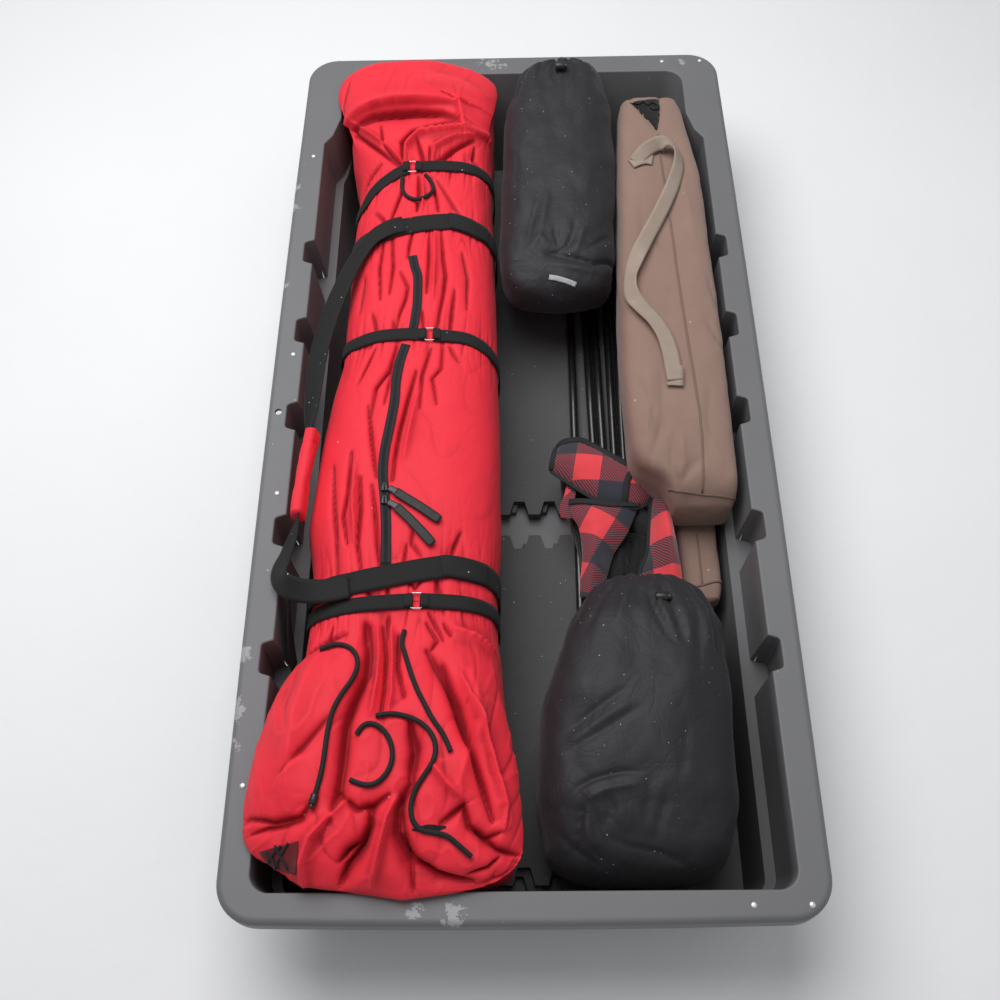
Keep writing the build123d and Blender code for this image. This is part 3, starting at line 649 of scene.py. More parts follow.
def painted_well_shade(tree, solid):
    """Where painted shade darkens the well: below the rim, towards the near end, inside only."""
    _, y, z = axes(tree, solid)
    below_rim = share_between(z, *((RIM - depth) / 1000 for depth in WELL_SHADE_BELOW_RIM))
    near = share_between(y, *(place / 1000 for place in WELL_SHADE_FROM_TO))
    facing = node(tree, "ShaderNodeNewGeometry").out("Normal")
    outwards = node(
        tree, "ShaderNodeVectorMath", {0: facing, 1: solid}, operation="DOT_PRODUCT",
    ).out("Value")
    upright = z * axes(tree, facing)[2]
    return below_rim * near * (outwards - upright).math("LESS_THAN", 0.02)


def tub_finish(base):
    """Moulded polyethylene: a fine grain, dust, pale marks on the rim, partly scuffs and partly
    painted highlight, and painted shade in the well's near end.
    """
    made = Finish("tub_plastic", base, 0.5, Specular_IOR_Level=0.4)
    uneven = made.uneven(3.5)
    streak = noise_texture(made.tree, made.solid, 60.0, 6.0, Roughness=0.75)
    scuff_or_highlight = None
    for x, y, reach in RIM_SCUFF_AND_HIGHLIGHT_SPOTS:
        aside = node(
            made.tree, "ShaderNodeVectorMath", {0: made.solid, 1: (x / 1000, y / 1000, RIM / 1000)},
            operation="DISTANCE",
        ).out("Value")
        near = (aside / (reach / 1000)).math("MULTIPLY_ADD", -1.0, 1.0).math("MAXIMUM", 0.0)
        scuff_or_highlight = scuff_or_highlight.math("MAXIMUM", near) if scuff_or_highlight else near
    # Pale marks near the spots: partly real scuffs, partly painted highlight on the rim's edge.
    lifted = scuff_or_highlight.math("MULTIPLY_ADD", 0.22, streak).math("GREATER_THAN", 0.64)
    lifted = lifted * scuff_or_highlight.math("GREATER_THAN", 0.02)
    marked = made.mixed(lifted * 0.38, made.toned(uneven, 0.12), (0.62, 0.63, 0.65))
    dusted = made.mixed(made.specks(70.0, 0.10, 0.10) * 0.4, marked, (0.7, 0.71, 0.73))
    # Painted shade: the inner walls below the rim darken towards the near end.
    well_shade_mix = painted_well_shade(made.tree, made.solid) * WELL_SHADE_SHARE
    well_shade_colour = [value * WELL_SHADE_TONE for value in base]
    made.link(made.mixed(well_shade_mix, dusted, well_shade_colour), "Base Color")
    made.link(uneven.math("MULTIPLY_ADD", 0.25, 0.38), "Roughness")
    grain = noise_texture(made.tree, made.solid, 900.0, 2.0)
    made.bumps((uneven, 0.003, 0.15), (grain, 0.0003, 0.3))


def foam_finish(base):
    """Pressed foam: a small waffle on the flat faces, with painted shade in its grooves."""
    made = Finish("floor_foam", base, 0.8, Specular_IOR_Level=0.3)
    ridges = [
        (place * (math.tau / 0.0056)).math("SINE").math("ABSOLUTE")
        for place in axes(made.tree, made.solid)[:2]
    ]
    waffle = ridges[0].math("MINIMUM", ridges[1])
    # Painted shade: the waffle's grooves darken to about half the base colour.
    darker = [value * 0.55 for value in base]
    pressed = made.mixed(waffle.math("POWER", 0.5), darker, made.toned(made.uneven(14.0), 0.15))
    dust = made.specks(110.0, 0.12, 0.12)
    made.link(made.mixed(dust * 0.6, pressed, (0.6, 0.6, 0.62)), "Base Color")
    made.bumps((waffle, 0.0006, 0.8))


def check_finish(red, dark, pitch):
    """Red and dark buffalo check: the mixed squares show the twill's slanting lines."""
    made = Finish("check_cloth", red, 0.85, Sheen_Weight=0.4, Sheen_Roughness=0.5)
    across, along, _ = axes(made.tree, made.flat)
    bands = [(place / pitch).math("FRACT").math("LESS_THAN", 0.5) for place in (across, along)]
    both = bands[0] * bands[1]
    either = bands[0] + bands[1] - both * 2.0
    twill = ((across + along) / 0.0050).math("FRACT").math("LESS_THAN", 0.4)
    share = (both + either * twill * 0.5).math("MINIMUM", 1.0)
    uneven = made.uneven(60.0)
    made.link(made.mixed(share, dark, made.toned(uneven, 0.12)), "Base Color")
    nap = made.group("Thread weave", made.flat, Threads=900.0)
    made.bumps((uneven, 0.003, 0.4), (nap, 0.0003, 0.5))


def plain_finish(name, base, roughness, grain, **sockets):
    """A rigid finish with a fine grain and a little unevenness."""
    made = Finish(name, base, roughness, **sockets)
    uneven = made.uneven(grain)
    made.link(made.toned(uneven, 0.12), "Base Color")
    made.link(uneven.math("MULTIPLY_ADD", 0.2, max(roughness - 0.1, 0.02)), "Roughness")
    made.bumps((uneven, 0.0006, 0.2))


def zip_finish(base, width):
    """Zip tape with its closed coil along the middle."""
    made = Finish("zip_tape", base, 0.65, Sheen_Weight=0.05, Specular_IOR_Level=0.3)
    across, along, _ = axes(made.tree, made.flat)
    off = (across - width / 2).math("ABSOLUTE")
    coil = off.math("LESS_THAN", 0.0032)
    teeth = (along * (math.pi / 0.0021)).math("SINE").math("ABSOLUTE")
    shade = made.mixed(coil, base, (0.010, 0.010, 0.013))
    shade = made.mixed(off.math("LESS_THAN", 0.0005), shade, (0.003, 0.003, 0.004))
    made.link(shade, "Base Color")
    height = (coil * teeth).math("MULTIPLY_ADD", 0.7, coil)
    threads = made.group("Thread weave", made.flat, Threads=1800.0)
    made.bumps((height, 0.0009, 0.8), (threads, 0.0001, 0.4))


def tint(name, description, value):
    return bpy.props.FloatVectorProperty(
        name=name, description=description, subtype="COLOR", size=3, default=value,
        min=0.0, max=1.0,
    )


def span(name, description, value, low, high):
    return bpy.props.FloatProperty(
        name=name, description=description, default=value, min=low, max=high, unit="LENGTH",
    )


class SledColours(bpy.types.PropertyGroup):
    """Colours of the sled and its load."""

    tub: tint("Tub", "Grey of the moulded tub", (0.160, 0.161, 0.168))
    foam: tint("Floor foam", "Colour of the floor tiles", (0.125, 0.126, 0.130))
    hut_cloth: tint("Hut bag", "Red of the hut's bag", (0.86, 0.029, 0.052))
    webbing: tint("Webbing", "Colour of the straps and bands", (0.013, 0.013, 0.0135))
    sack: tint("Stuff sacks", "Colour of the two stuff sacks", (0.0165, 0.0160, 0.0195))
    canvas: tint("Canvas bags", "Brown of the canvas bags", (0.285, 0.183, 0.146))
    tan: tint("Tan webbing", "Colour of the canvas bag's handle", (0.36, 0.28, 0.23))
    check_red: tint("Check red", "Red of the chair's check cloth", (0.78, 0.05, 0.065))
    snow: tint("Floor", "Colour of the floor under the sled", (0.90, 0.905, 0.92))


class SledSizes(bpy.types.PropertyGroup):
    """Sizes of the load's trim."""

    strap_width: span("Strap width", "Width of the compression straps", 0.025, 0.01, 0.05)
    band_width: span("Band width", "Width of the carry bands and handle", 0.038, 0.02, 0.06)
    cord_diameter: span("Cord diameter", "Diameter of the drawcords", 0.0075, 0.003, 0.012)
    zip_width: span("Zip width", "Width of the zip tape that shows", 0.016, 0.01, 0.04)
    tan_width: span("Canvas handle width", "Width of the canvas bag's handle", 0.028, 0.015, 0.05)
    check_pitch: span("Check pitch", "Repeat of the chair cloth's check", 0.093, 0.02, 0.2)


def sizes():
    return bpy.context.scene.sled_sizes


# Pale spots of the rim, partly worn scuffs and snow, partly painted highlight on its outer edge: x,
# y and reach in millimetres
RIM_SCUFF_AND_HIGHLIGHT_SPOTS = (
    (-48, 846, 34), (-20, 838, 22), (-428, 452, 26), (-429, 500, 18), (-427, -470, 22),
    (-428, -560, 30), (-429, -610, 24), (-96, -852, 24), (-150, -848, 18), (352, 846, 16),
    (-429, 250, 16),
)


class SLED_OT_finishes(bpy.types.Operator):
    """Make the shared shader groups and every finish"""

    bl_idname = "sled.finishes"
    bl_label = "Make finishes"

    def execute(self, context):
        for group in GROUPS:
            new_group(*group)
        tone = context.scene.sled_colours
        # The hut cloth takes painted shade in its folds, darkening towards a deep red.
        cloth_finish(
            "hut_cloth", tone.hut_cloth, 0.62, 1700.0, 0.0006, (60.0, 0.02, 0.10, 0.35), tone=0.04,
            sheen=0.04, scale=16.0, painted_shade=(0.34, 0.003, 0.012), shine=0.25,
        )
        cloth_finish(
            "sack_cloth", tone.sack, 0.55, 1900.0, 0.0011, (120.0, 0.22, 0.10, 0.45), tone=0.16,
            sheen=0.08, scale=18.0,
        )
        cloth_finish(
            "canvas", tone.canvas, 0.85, 1100.0, 0.0009, (75.0, 0.05, 0.12, 0.4), tone=0.12,
            scale=12.0,
        )
        seam = [value * 0.72 for value in tone.canvas]
        # The dark lining finish also serves as painted shade in the hem slit and the canvas bag's
        # opening.
        for cloth in (
            ("chair_lining", (0.0065, 0.006, 0.0065), 0.8, 1400.0, 0.004, (90.0, 0.02, 0.1, 0.2)),
            ("seam_cloth", seam, 0.9, 1100.0, 0.001, (75.0, 0.02, 0.1, 0.3)),
            ("label_cloth", (0.40, 0.40, 0.42), 0.6, 2200.0, 0.001, (240.0, 0.5, 0.2, 0.6), 0.5),
            ("vent_mesh", (0.13, 0.003, 0.008), 0.85, 900.0, 0.001, (75.0, 0.0, 0.1, 0.0), 0.3),
        ):
            cloth_finish(*cloth)
        webbing_finish("black_webbing", tone.webbing)
        webbing_finish("tan_webbing", tone.tan, specks=0.03)
        webbing_finish("binding", (0.018, 0.019, 0.022), specks=0.02)
        cord_finish("black_cord", (0.010, 0.010, 0.011))
        tub_finish(tone.tub)
        foam_finish(tone.foam)
        check_finish(tone.check_red, (0.024, 0.027, 0.040), sizes().check_pitch)
        zip_finish((0.013, 0.012, 0.017), sizes().zip_width)
        for name, base, roughness, grain, sockets in (
            ("buckle_steel", (0.62, 0.56, 0.57), 0.32, 220.0, {"Metallic": 1.0}),
            ("slider_metal", (0.03, 0.03, 0.034), 0.35, 260.0, {"Metallic": 0.6}),
            ("pull_rubber", (0.009, 0.009, 0.010), 0.6, 180.0, {}),
            ("pull_link", (0.055, 0.055, 0.060), 0.45, 220.0, {"Metallic": 0.3}),
            (
                "tube_paint", (0.012, 0.012, 0.013), 0.3, 90.0,
                {"Coat_Weight": 0.6, "Coat_Roughness": 0.15},
            ),
            ("toggle_plastic", (0.014, 0.014, 0.015), 0.35, 200.0, {}),
            ("rivet_metal", (0.75, 0.75, 0.76), 0.4, 300.0, {"Metallic": 0.7}),
        ):
            plain_finish(name, base, roughness, grain, **sockets)
        return {"FINISHED"}


# ---- Hut bag: its sections and folds

# y, then the sides and bottom below the rim, then the sides and top above it
BAG_SECTIONS = (
    (-815, -306, -20, -150, -354, 10, 30), (-790, -330, -14, -176, -386, 15, 43),
    (-760, -338, -8, -192, -404, 15, 57), (-690, -342, -10, -197, -404, 6, 68),
    (-600, -340, -16, -197, -391, -8, 64), (-532, -338, -24, -197, -376, -20, 55),
    (-466, -338, -28, -197, -340, -28, 43), (-424, -336, -34, -197, -336, -34, 38),
    (-332, -336, -34, -197, -336, -34, 38), (-250, -351, -28, -197, -351, -28, 43),
    (-100, -341, -28, -197, -341, -28, 41), (0, -330, -30, -197, -330, -30, 39),
    (76, -316, -33, -197, -316, -33, 35), (108, -316, -33, -197, -316, -33, 35),
    (250, -312, -36, -197, -312, -36, 41), (328, -312, -38, -197, -312, -38, 39),
    (372, -312, -38, -197, -312, -38, 39), (478, -308, -42, -197, -308, -42, 36),
    (510, -308, -42, -197, -308, -42, 36), (580, -326, -42, -197, -326, -42, 45),
    (640, -331, -38, -198, -346, -32, 47), (741, -326, -38, -180, -376, -18, 48),
    (798, -322, -44, -170, -360, -28, 38),
)
BAG_ROWS = 240
BAG_COLUMNS = 240
BAG_END_TURN = 32.0
# The line that the bag's rounded ends draw in to: x, and height above the ground
BAG_MIDDLE = (-190.0, RIM + 10.0)
# How square its section is, at places along it: 2 is an ellipse
BAG_SQUARENESS = ((-640, 3.6), (-480, 2.9), (560, 2.9), (700, 3.4))
# How square the ends lie in plan: 1 is round
END_SQUARENESS = 0.45
FOLD_DEPTH = 1.5
# The tub's left wall in two stages, each (height of its foot, x there, rise, lean outwards)
WALL_STAGES = ((18.0, -344.0, 115.0, 11.0), (RIM - 110.0, -371.0, 110.0, 8.0))
WALL_GAP = 2.5
RIM_GAP = 1.5
# The bag's three cloth pieces: name, rows, columns and the solid that each stands for
BAG_PIECES = (
    ("hut_bag_near_end_cloth", 176, 470, "hut_bag_near_end"),
    ("hut_bag_middle_cloth", 250, 330, "hut_bag_body"),
    ("hut_bag_far_end_cloth", 140, 470, "hut_bag_far_end"),
)
# How far the bag's two ends lie out over the rim, at places across it
NEAR_OVERHANG = ((-351, -10), (-307, 4), (-222, 10), (-165, 21), (-111, 14), (-34, 6), (4, -6))
FAR_OVERHANG = ((-352, 14), (-318, 26), (-276, 30), (-150, 26), (-90, 12), (-42, -3))

# Folds of the top, each (height, reach to its left, reach to its right, line in plan)
NEAR_END_FOLDS = (
    (14, 46, 44, ((-300, -490), (-322, -590), (-326, -700))),
    (
        -22, 15, 24,
        (
            (-229, -443), (-224, -487), (-225, -523), (-240, -568), (-248, -602), (-249, -652),
            (-252, -700), (-264, -738),
        ),
    ),
    (-8, 10, 14, ((-275, -592), (-307, -638), (-333, -671))),
    (-11, 8, 16, ((-384, -730), (-346, -740), (-305, -731), (-291, -716))),
    (-9, 8, 10, ((-378, -755), (-335, -746), (-302, -734))),
    (11, 8, 9, ((-214, -443), (-208, -498), (-208, -544), (-214, -590))),
    (-11, 7, 7, ((-206, -444), (-198, -498), (-197, -551), (-200, -592))),
    (10, 8, 8, ((-194, -444), (-188, -500), (-186, -560), (-190, -590))),
    (-10, 8, 8, ((-181, -460), (-180, -516), (-168, -562))),
    (-20, 18, 16, ((-158, -600), (-150, -640), (-154, -680))),
    (-11, 8, 11, ((-256, -700), (-226, -722), (-204, -718), (-184, -704))),
    (14, 14, 17, ((-242, -712), (-265, -732), (-288, -756), (-298, -783), (-298, -812))),
    (-22, 12, 12, ((-207, -722), (-207, -741), (-217, -766), (-235, -790), (-249, -812))),
    (-15, 7, 9, ((-222, -763), (-237, -773), (-248, -786))),
    (14, 10, 14, ((-172, -708), (-184, -729), (-194, -763), (-205, -805))),
    (-14, 8, 12, ((-165, -710), (-163, -741), (-152, -775), (-148, -808))),
    (
        -20, 12, 20,
        ((-152, -690), (-170, -722), (-170, -748), (-154, -774), (-116, -797), (-69, -808)),
    ),
    (12, 34, 30, ((-72, -520), (-62, -600), (-86, -690))),
    (-13, 9, 12, ((-138, -485), (-112, -528), (-88, -570), (-71, -630))),
    (-22, 8, 15, ((-112, -510), (-95, -563), (-71, -634), (-51, -692), (-39, -733))),
    (11, 8, 10, ((-89, -524), (-62, -597), (-33, -686), (-24, -718), (-26, -746))),
    (-14, 8, 12, ((-110, -738), (-80, -717), (-71, -742), (-48, -758), (-29, -749))),
    (9, 12, 12, ((-128, -659), (-102, -692), (-84, -708))),
    (-13, 8, 10, ((-60, -750), (-32, -770), (0, -780))),
    (-9, 6, 8, ((-66, -812), (-39, -806), (-2, -800))),
    (-9, 6, 8, ((-75, -798), (-46, -792), (-29, -780))),
    (-9, 5, 6, ((-141, -438), (-123, -467), (-133, -485))),
    (-8, 5, 6, ((-114, -438), (-103, -459))),
    (-8, 6, 7, ((-285, -438), (-291, -461), (-283, -476))),
    (9, 8, 12, ((-100, -445), (-66, -456), (-38, -472))),
    (-9, 8, 10, ((-327, -479), (-297, -465), (-264, -454))),
    (-7, 5, 6, ((-235, -434), (-231, -470))), (-7, 5, 6, ((-199, -427), (-199, -466))),
    (-7, 5, 6, ((-139, -420), (-121, -451), (-114, -467))),
)
FAR_END_FOLDS = (
    (
        15, 70, 8,
        ((-348, 650), (-318, 660), (-279, 674), (-244, 679), (-204, 679), (-150, 679), (-110, 677)),
    ),
    (-22, 12, 34, ((-330, 638), (-280, 655), (-235, 660), (-185, 660), (-140, 656), (-118, 646))),
    (9, 30, 9, ((-112, 690), (-106, 650), (-100, 612))),
    (8, 34, 9, ((-104, 606), (-66, 612), (-28, 626))),
    (13, 12, 9, ((-92, 616), (-142, 600), (-185, 591), (-210, 562), (-209, 518))),
    (-15, 8, 9, ((-120, 632), (-160, 618), (-196, 605), (-218, 575), (-216, 524))),
    (-11, 8, 8, ((-332, 642), (-288, 588), (-246, 543), (-213, 512))),
    (9, 8, 8, ((-322, 652), (-274, 597), (-226, 542), (-205, 515))),
    (-9, 7, 8, ((-263, 624), (-256, 575), (-234, 540), (-212, 515))),
    (-9, 7, 7, ((-188, 578), (-177, 541), (-172, 512))), (-8, 6, 7, ((-163, 561), (-163, 516))),
    (9, 9, 8, ((-79, 603), (-113, 588), (-152, 560), (-158, 517))),
    (-13, 8, 10, ((-76, 592), (-114, 558), (-138, 532), (-160, 510))),
    (-9, 8, 10, ((-73, 579), (-76, 547), (-58, 523))),
    (-9, 8, 10, ((-312, 471), (-287, 508), (-259, 530))),
    (-6, 6, 14, ((-339, 656), (-347, 700), (-334, 750))),
    (9, 26, 26, ((-190, 740), (-110, 725), (-60, 705))),
    (-7, 5, 6, ((-118, 682), (-128, 694), (-142, 700))),
)
MIDDLE_FOLDS = (
    (-9, 6, 7, ((-212, 486), (-214, 448), (-226, 403), (-236, 363))),
    (-11, 6, 6, ((-183, 490), (-181, 447), (-183, 398))),
    (8, 6, 6, ((-176, 486), (-171, 432), (-175, 398))),
    (-10, 6, 7, ((-160, 486), (-147, 431), (-142, 394))),
    (-7, 6, 8, ((-148, 480), (-111, 408), (-97, 386))),
    (-8, 6, 8, ((-262, 404), (-248, 385), (-238, 363))),
    (-9, 6, 6, ((-244, 325), (-248, 260), (-243, 190))),
    (-8, 6, 7, ((-228, 335), (-222, 262), (-226, 200))),
    (-8, 5, 6, ((-208, 249), (-193, 213), (-196, 188), (-206, 154), (-211, 124))),
    (-9, 5, 6, ((-189, 346), (-194, 310), (-196, 282))),
    (-9, 5, 6, ((-158, 346), (-157, 273), (-159, 200))),
    (7, 6, 6, ((-148, 346), (-146, 270), (-148, 187))),
    (-10, 5, 7, ((-136, 350), (-130, 276), (-125, 240), (-128, 201), (-134, 159), (-141, 110))),
    (-8, 6, 7, ((-108, 210), (-112, 166), (-117, 108))), (-7, 5, 6, ((-166, 160), (-162, 108))),
    (-8, 6, 6, ((-256, 160), (-243, 108))), (-7, 7, 9, ((-276, 250), (-282, 172))),
    (-7, 5, 6, ((-216, 140), (-214, 108))), (-6, 8, 10, ((-95, 300), (-84, 240), (-86, 170))),
    (-8, 6, 8, ((-246, 86), (-272, 12))),
    (-10, 6, 7, ((-209, 84), (-218, 34), (-240, -4), (-246, -60))),
    (-7, 5, 6, ((-198, 84), (-214, 30), (-224, -40))),
    (-7, 6, 7, ((-127, 80), (-129, 36), (-144, 14), (-135, -40))),
    (-7, 6, 6, ((-116, 84), (-100, 52))), (-8, 6, 7, ((-148, 80), (-162, 20), (-163, -50))),
    (-13, 6, 7, ((-172, 30), (-184, -33), (-195, -97), (-201, -150), (-203, -190))),
    (8, 12, 10, ((-168, -20), (-178, -90), (-186, -150))),
    (-9, 6, 7, ((-251, -40), (-240, -121), (-229, -184))),
    (-11, 7, 8, ((-275, -131), (-276, -206), (-282, -252), (-272, -300))),
    (9, 7, 7, ((-266, -150), (-264, -230), (-258, -300))),
    (-10, 6, 7, ((-256, -182), (-252, -247), (-254, -304), (-246, -350))),
    (-9, 7, 8, ((-306, -151), (-299, -232), (-292, -284), (-286, -356))),
    (-9, 6, 7, ((-236, -197), (-228, -247), (-222, -305), (-214, -352))),
    (-7, 6, 6, ((-176, -305), (-180, -350))), (-8, 6, 7, ((-90, -281), (-100, -306), (-106, -330))),
    (-6, 7, 8, ((-166, -281), (-168, -305), (-149, -332))),
    (-8, 5, 6, ((-302, -375), (-286, -408))), (-8, 5, 6, ((-240, -372), (-222, -405))),
    (-8, 5, 6, ((-177, -362), (-160, -380), (-148, -361))),
    (-7, 5, 6, ((-128, -358), (-121, -398))), (-7, 5, 6, ((-268, -378), (-262, -406))),
    (-7, 5, 6, ((-205, -372), (-200, -400))),
)

# Straps and bands round the bag, and the zip: (x, y) along the top
STRAP_ROUTES = {
    "compression_strap_1": (
        (-308, 425), (-286, 440), (-271, 462), (-253, 477), (-225, 496), (-203, 507), (-166, 511),
        (-113, 513), (-63, 519), (-44, 526),
    ),
    "compression_strap_2": (
        (-314, 111), (-280, 104), (-241, 107), (-187, 108), (-140, 104), (-88, 104), (-62, 100),
        (-40, 94),
    ),
    "compression_strap_3": (
        (-336, -412), (-290, -411), (-225, -407), (-167, -404), (-113, -404), (-45, -402),
    ),
}
BAND_ROUTES = {
    "carry_band_far": (
        (-312, 336), (-255, 338), (-224, 351), (-173, 361), (-116, 368), (-71, 360), (-42, 362),
    ),
    "carry_band_near": (
        (-336, -372), (-300, -374), (-261, -372), (-214, -364), (-163, -354), (-112, -344),
        (-71, -346), (-40, -346),
    ),
}
ZIP_FAR_ROUTE = (
    (-187, 283), (-182, 258), (-176, 236), (-175, 205), (-175, 172), (-178, 138), (-181, 114),
)
ZIP_NEAR_ROUTE = (
    (-192, 86), (-200, 52), (-205, 10), (-206, -32), (-209, -65), (-213, -97), (-217, -128),
    (-219, -159), (-218, -189), (-214, -219), (-211, -249), (-209, -277), (-208, -304),
    (-207, -342),
)

# The bag's smooth form, its normals and how full each row is
bag = {}


def bag_body():
    """The bag's smooth form and each row's fullness."""
    table = np.array(BAG_SECTIONS, float)
    middle_x, middle_z = BAG_MIDDLE
    y, full = rounded_ends(table[0, 0], table[-1, 0], BAG_END_TURN, 12, BAG_ROWS)
    rows = []
    for place, fullness in zip(y, full):
        left, right, bottom, left_top, right_top, top = section_at(table, place, 18)
        roundness = np.interp(place, *zip(*BAG_SQUARENESS))
        unit_x, unit_z = rounded_ring(-1, 1, -1, 1, roundness, BAG_COLUMNS, 0.72)
        z = RIM + (top + bottom) / 2 + unit_z * (top - bottom) / 2
        above = ease(RIM - 2, RIM + 9, z)
        low = left + (left_top - left) * above
        high = right + (right_top - right) * above
        x = (low + high) / 2 + unit_x * (high - low) / 2
        x = middle_x + (x - middle_x) * fullness ** END_SQUARENESS
        z = middle_z + (z - middle_z) * fullness
        rows.append(np.stack([x, np.full_like(x, place), z], axis=1))
    return np.array(rows), full


def ring_route(body, route):
    """y of a strap at each column: its route on top, straight between its ends below."""
    middle = sum(y for _, y in route) / len(route)
    row = int(np.argmin(np.abs(body[:, 0, 1] - middle)))
    return np.interp(body[row, :, 0], *zip(*route))


def ring_on_bag(route, lift):
    """Places in metres and facings of a strap round the bag, lifted in millimetres."""
    body = bag["body"]
    y = body[:, 0, 1]
    centre = []
    facing = []
    for column, line in enumerate(ring_route(body, route)[:BAG_COLUMNS]):
        spot, up = [
            np.array([np.interp(line, y, grid[:, column, k]) for k in range(3)])
            for grid in (body, bag["normals"])
        ]
        up /= np.linalg.norm(up)
        centre.append(spot + up * lift)
        facing.append(up)
    return np.array(centre) / 1000, np.array(facing)


def pressed(body, heights):
    """Keep the folds under the straps, bands and zip."""
    x, y, z = np.moveaxis(body, 2, 0)
    for routes, half in ((STRAP_ROUTES, 15.0), (BAND_ROUTES, 21.0)):
        for route in routes.values():
            share = np.exp(-(((y - ring_route(body, route)[None, :]) / half) ** 4))
            held = np.minimum(heights, -0.5) * 0.35
            heights = heights * (1 - share) + held * share - 0.8 * share
    top = ease(RIM - 10, RIM + 10, z)
    for route in (ZIP_FAR_ROUTE, ZIP_NEAR_ROUTE):
        near = fold_heights(x, y, [(1.0, 12, 12, route)])
        share = np.clip(near * 1.6, 0, 1) ** 2 * top
        heights = heights * (1 - share) + np.clip(heights, -1.5, 0.5) * share
    return heights


def strap_gathers(body):
    """Long small gathers that fade away from each strap."""
    y = body[:, :, 1]
    around = np.broadcast_to(np.linspace(0, 1, y.shape[1])[None, :] * 1000, y.shape).copy()
    around[:, -1] = around[:, 0]
    fading = np.zeros_like(y)
    for route in (*STRAP_ROUTES.values(), *BAND_ROUTES.values()):
        away = np.abs(y - ring_route(body, route)[None, :])
        fading = np.maximum(fading, np.exp(-away / 62.0))
    gathers = wrinkle(around / 70, y / 170, 3.1)
    fine = creases(around / 26, y / 130, 8.4, 0.10)
    finer = creases(around / 15, y / 80, 2.2, 0.14)
    seam = np.clip(np.minimum(around, 1000 - around) / 60, 0, 1)
    return (gathers * 4.0 - fine * 6.0 * fading - finer * 3.0 * fading ** 2) * fading * seam


def bag_fold_heights(body, normals):
    """How far the folded cloth stands off the smooth form, in millimetres."""
    x, y, z = np.moveaxis(body, 2, 0)
    up = ease(0.05, 0.55, normals[:, :, 2]) * ease(RIM - 40, RIM + 5, z)
    folds = fold_heights(x, y, NEAR_END_FOLDS + FAR_END_FOLDS + MIDDLE_FOLDS) * up * FOLD_DEPTH
    broad = wrinkle(x / 95, y / 120 + z / 90, 1.7)
    small = wrinkle(x / 38, y / 55 + z / 40, 5.2)
    ends = ease(430, 560, np.abs(y))
    near_end = ease(-430, -560, y)
    lines = creases(x / 60, y / 95 + z / 80, 4.4, 0.09) * (0.7 + 1.8 * near_end)
    edges = creases(x / 48 + y / 160, y / 70 - x / 90, 6.1, 0.07) * (0.3 + 1.4 * near_end)
    heights = folds + broad * (1.8 + 1.2 * ends) + small * (0.4 + 0.2 * ends) - lines + edges
    heights += strap_gathers(body)
    side = 1 - ease(0.0, 0.6, normals[:, :, 2])
    heights = heights * (1 - side * 0.45) - side * 1.5
    return pressed(body, heights)


def painted_fold_shade(heights, normals):
    """Painted shade for the folds: how deep in its folds each place of the cloth lies, from 0 to 1.
    """
    deep = np.clip((-heights - 3.0) / 15.0, 0.0, 0.6)
    for rounds, depth in ((7, 2.6), (60, 8.0)):
        deep = deep + np.clip(sunken(heights, rounds) / depth, 0.0, 0.5)
    return np.clip(deep, 0.0, 0.95) * ease(0.2, 0.6, normals[:, :, 2])


def wall_left(z):
    """X of the tub's left wall at a height: its stage under the ledge, then the one above."""
    low, high = [x - (z - foot) / rise * lean for foot, x, rise, lean in WALL_STAGES]
    return np.where(z < WALL_STAGES[1][0], low, high)


def bag_in_tub(shell):
    """The bag kept off the tub's floor and walls, with its ends laid out over the rim."""
    x, y, z = np.moveaxis(shell, 2, 0)
    z = np.maximum(z, BAG_SEAT)
    in_well = z < RIM + RIM_GAP
    x = np.where(in_well, np.maximum(x, wall_left(z) + WALL_GAP), x)
    over = ease(RIM + RIM_GAP, RIM + 10, z)
    y = y - np.interp(x, *zip(*NEAR_OVERHANG)) * over * ease(-690, -812, y)
    y = y + np.interp(x, *zip(*FAR_OVERHANG)) * over * ease(690, 796, y)
    y = np.where(in_well, np.clip(y, *BAG_IN_WELL), np.clip(y, *BAG_ON_RIM))
    return np.stack([x, y, z], axis=2)


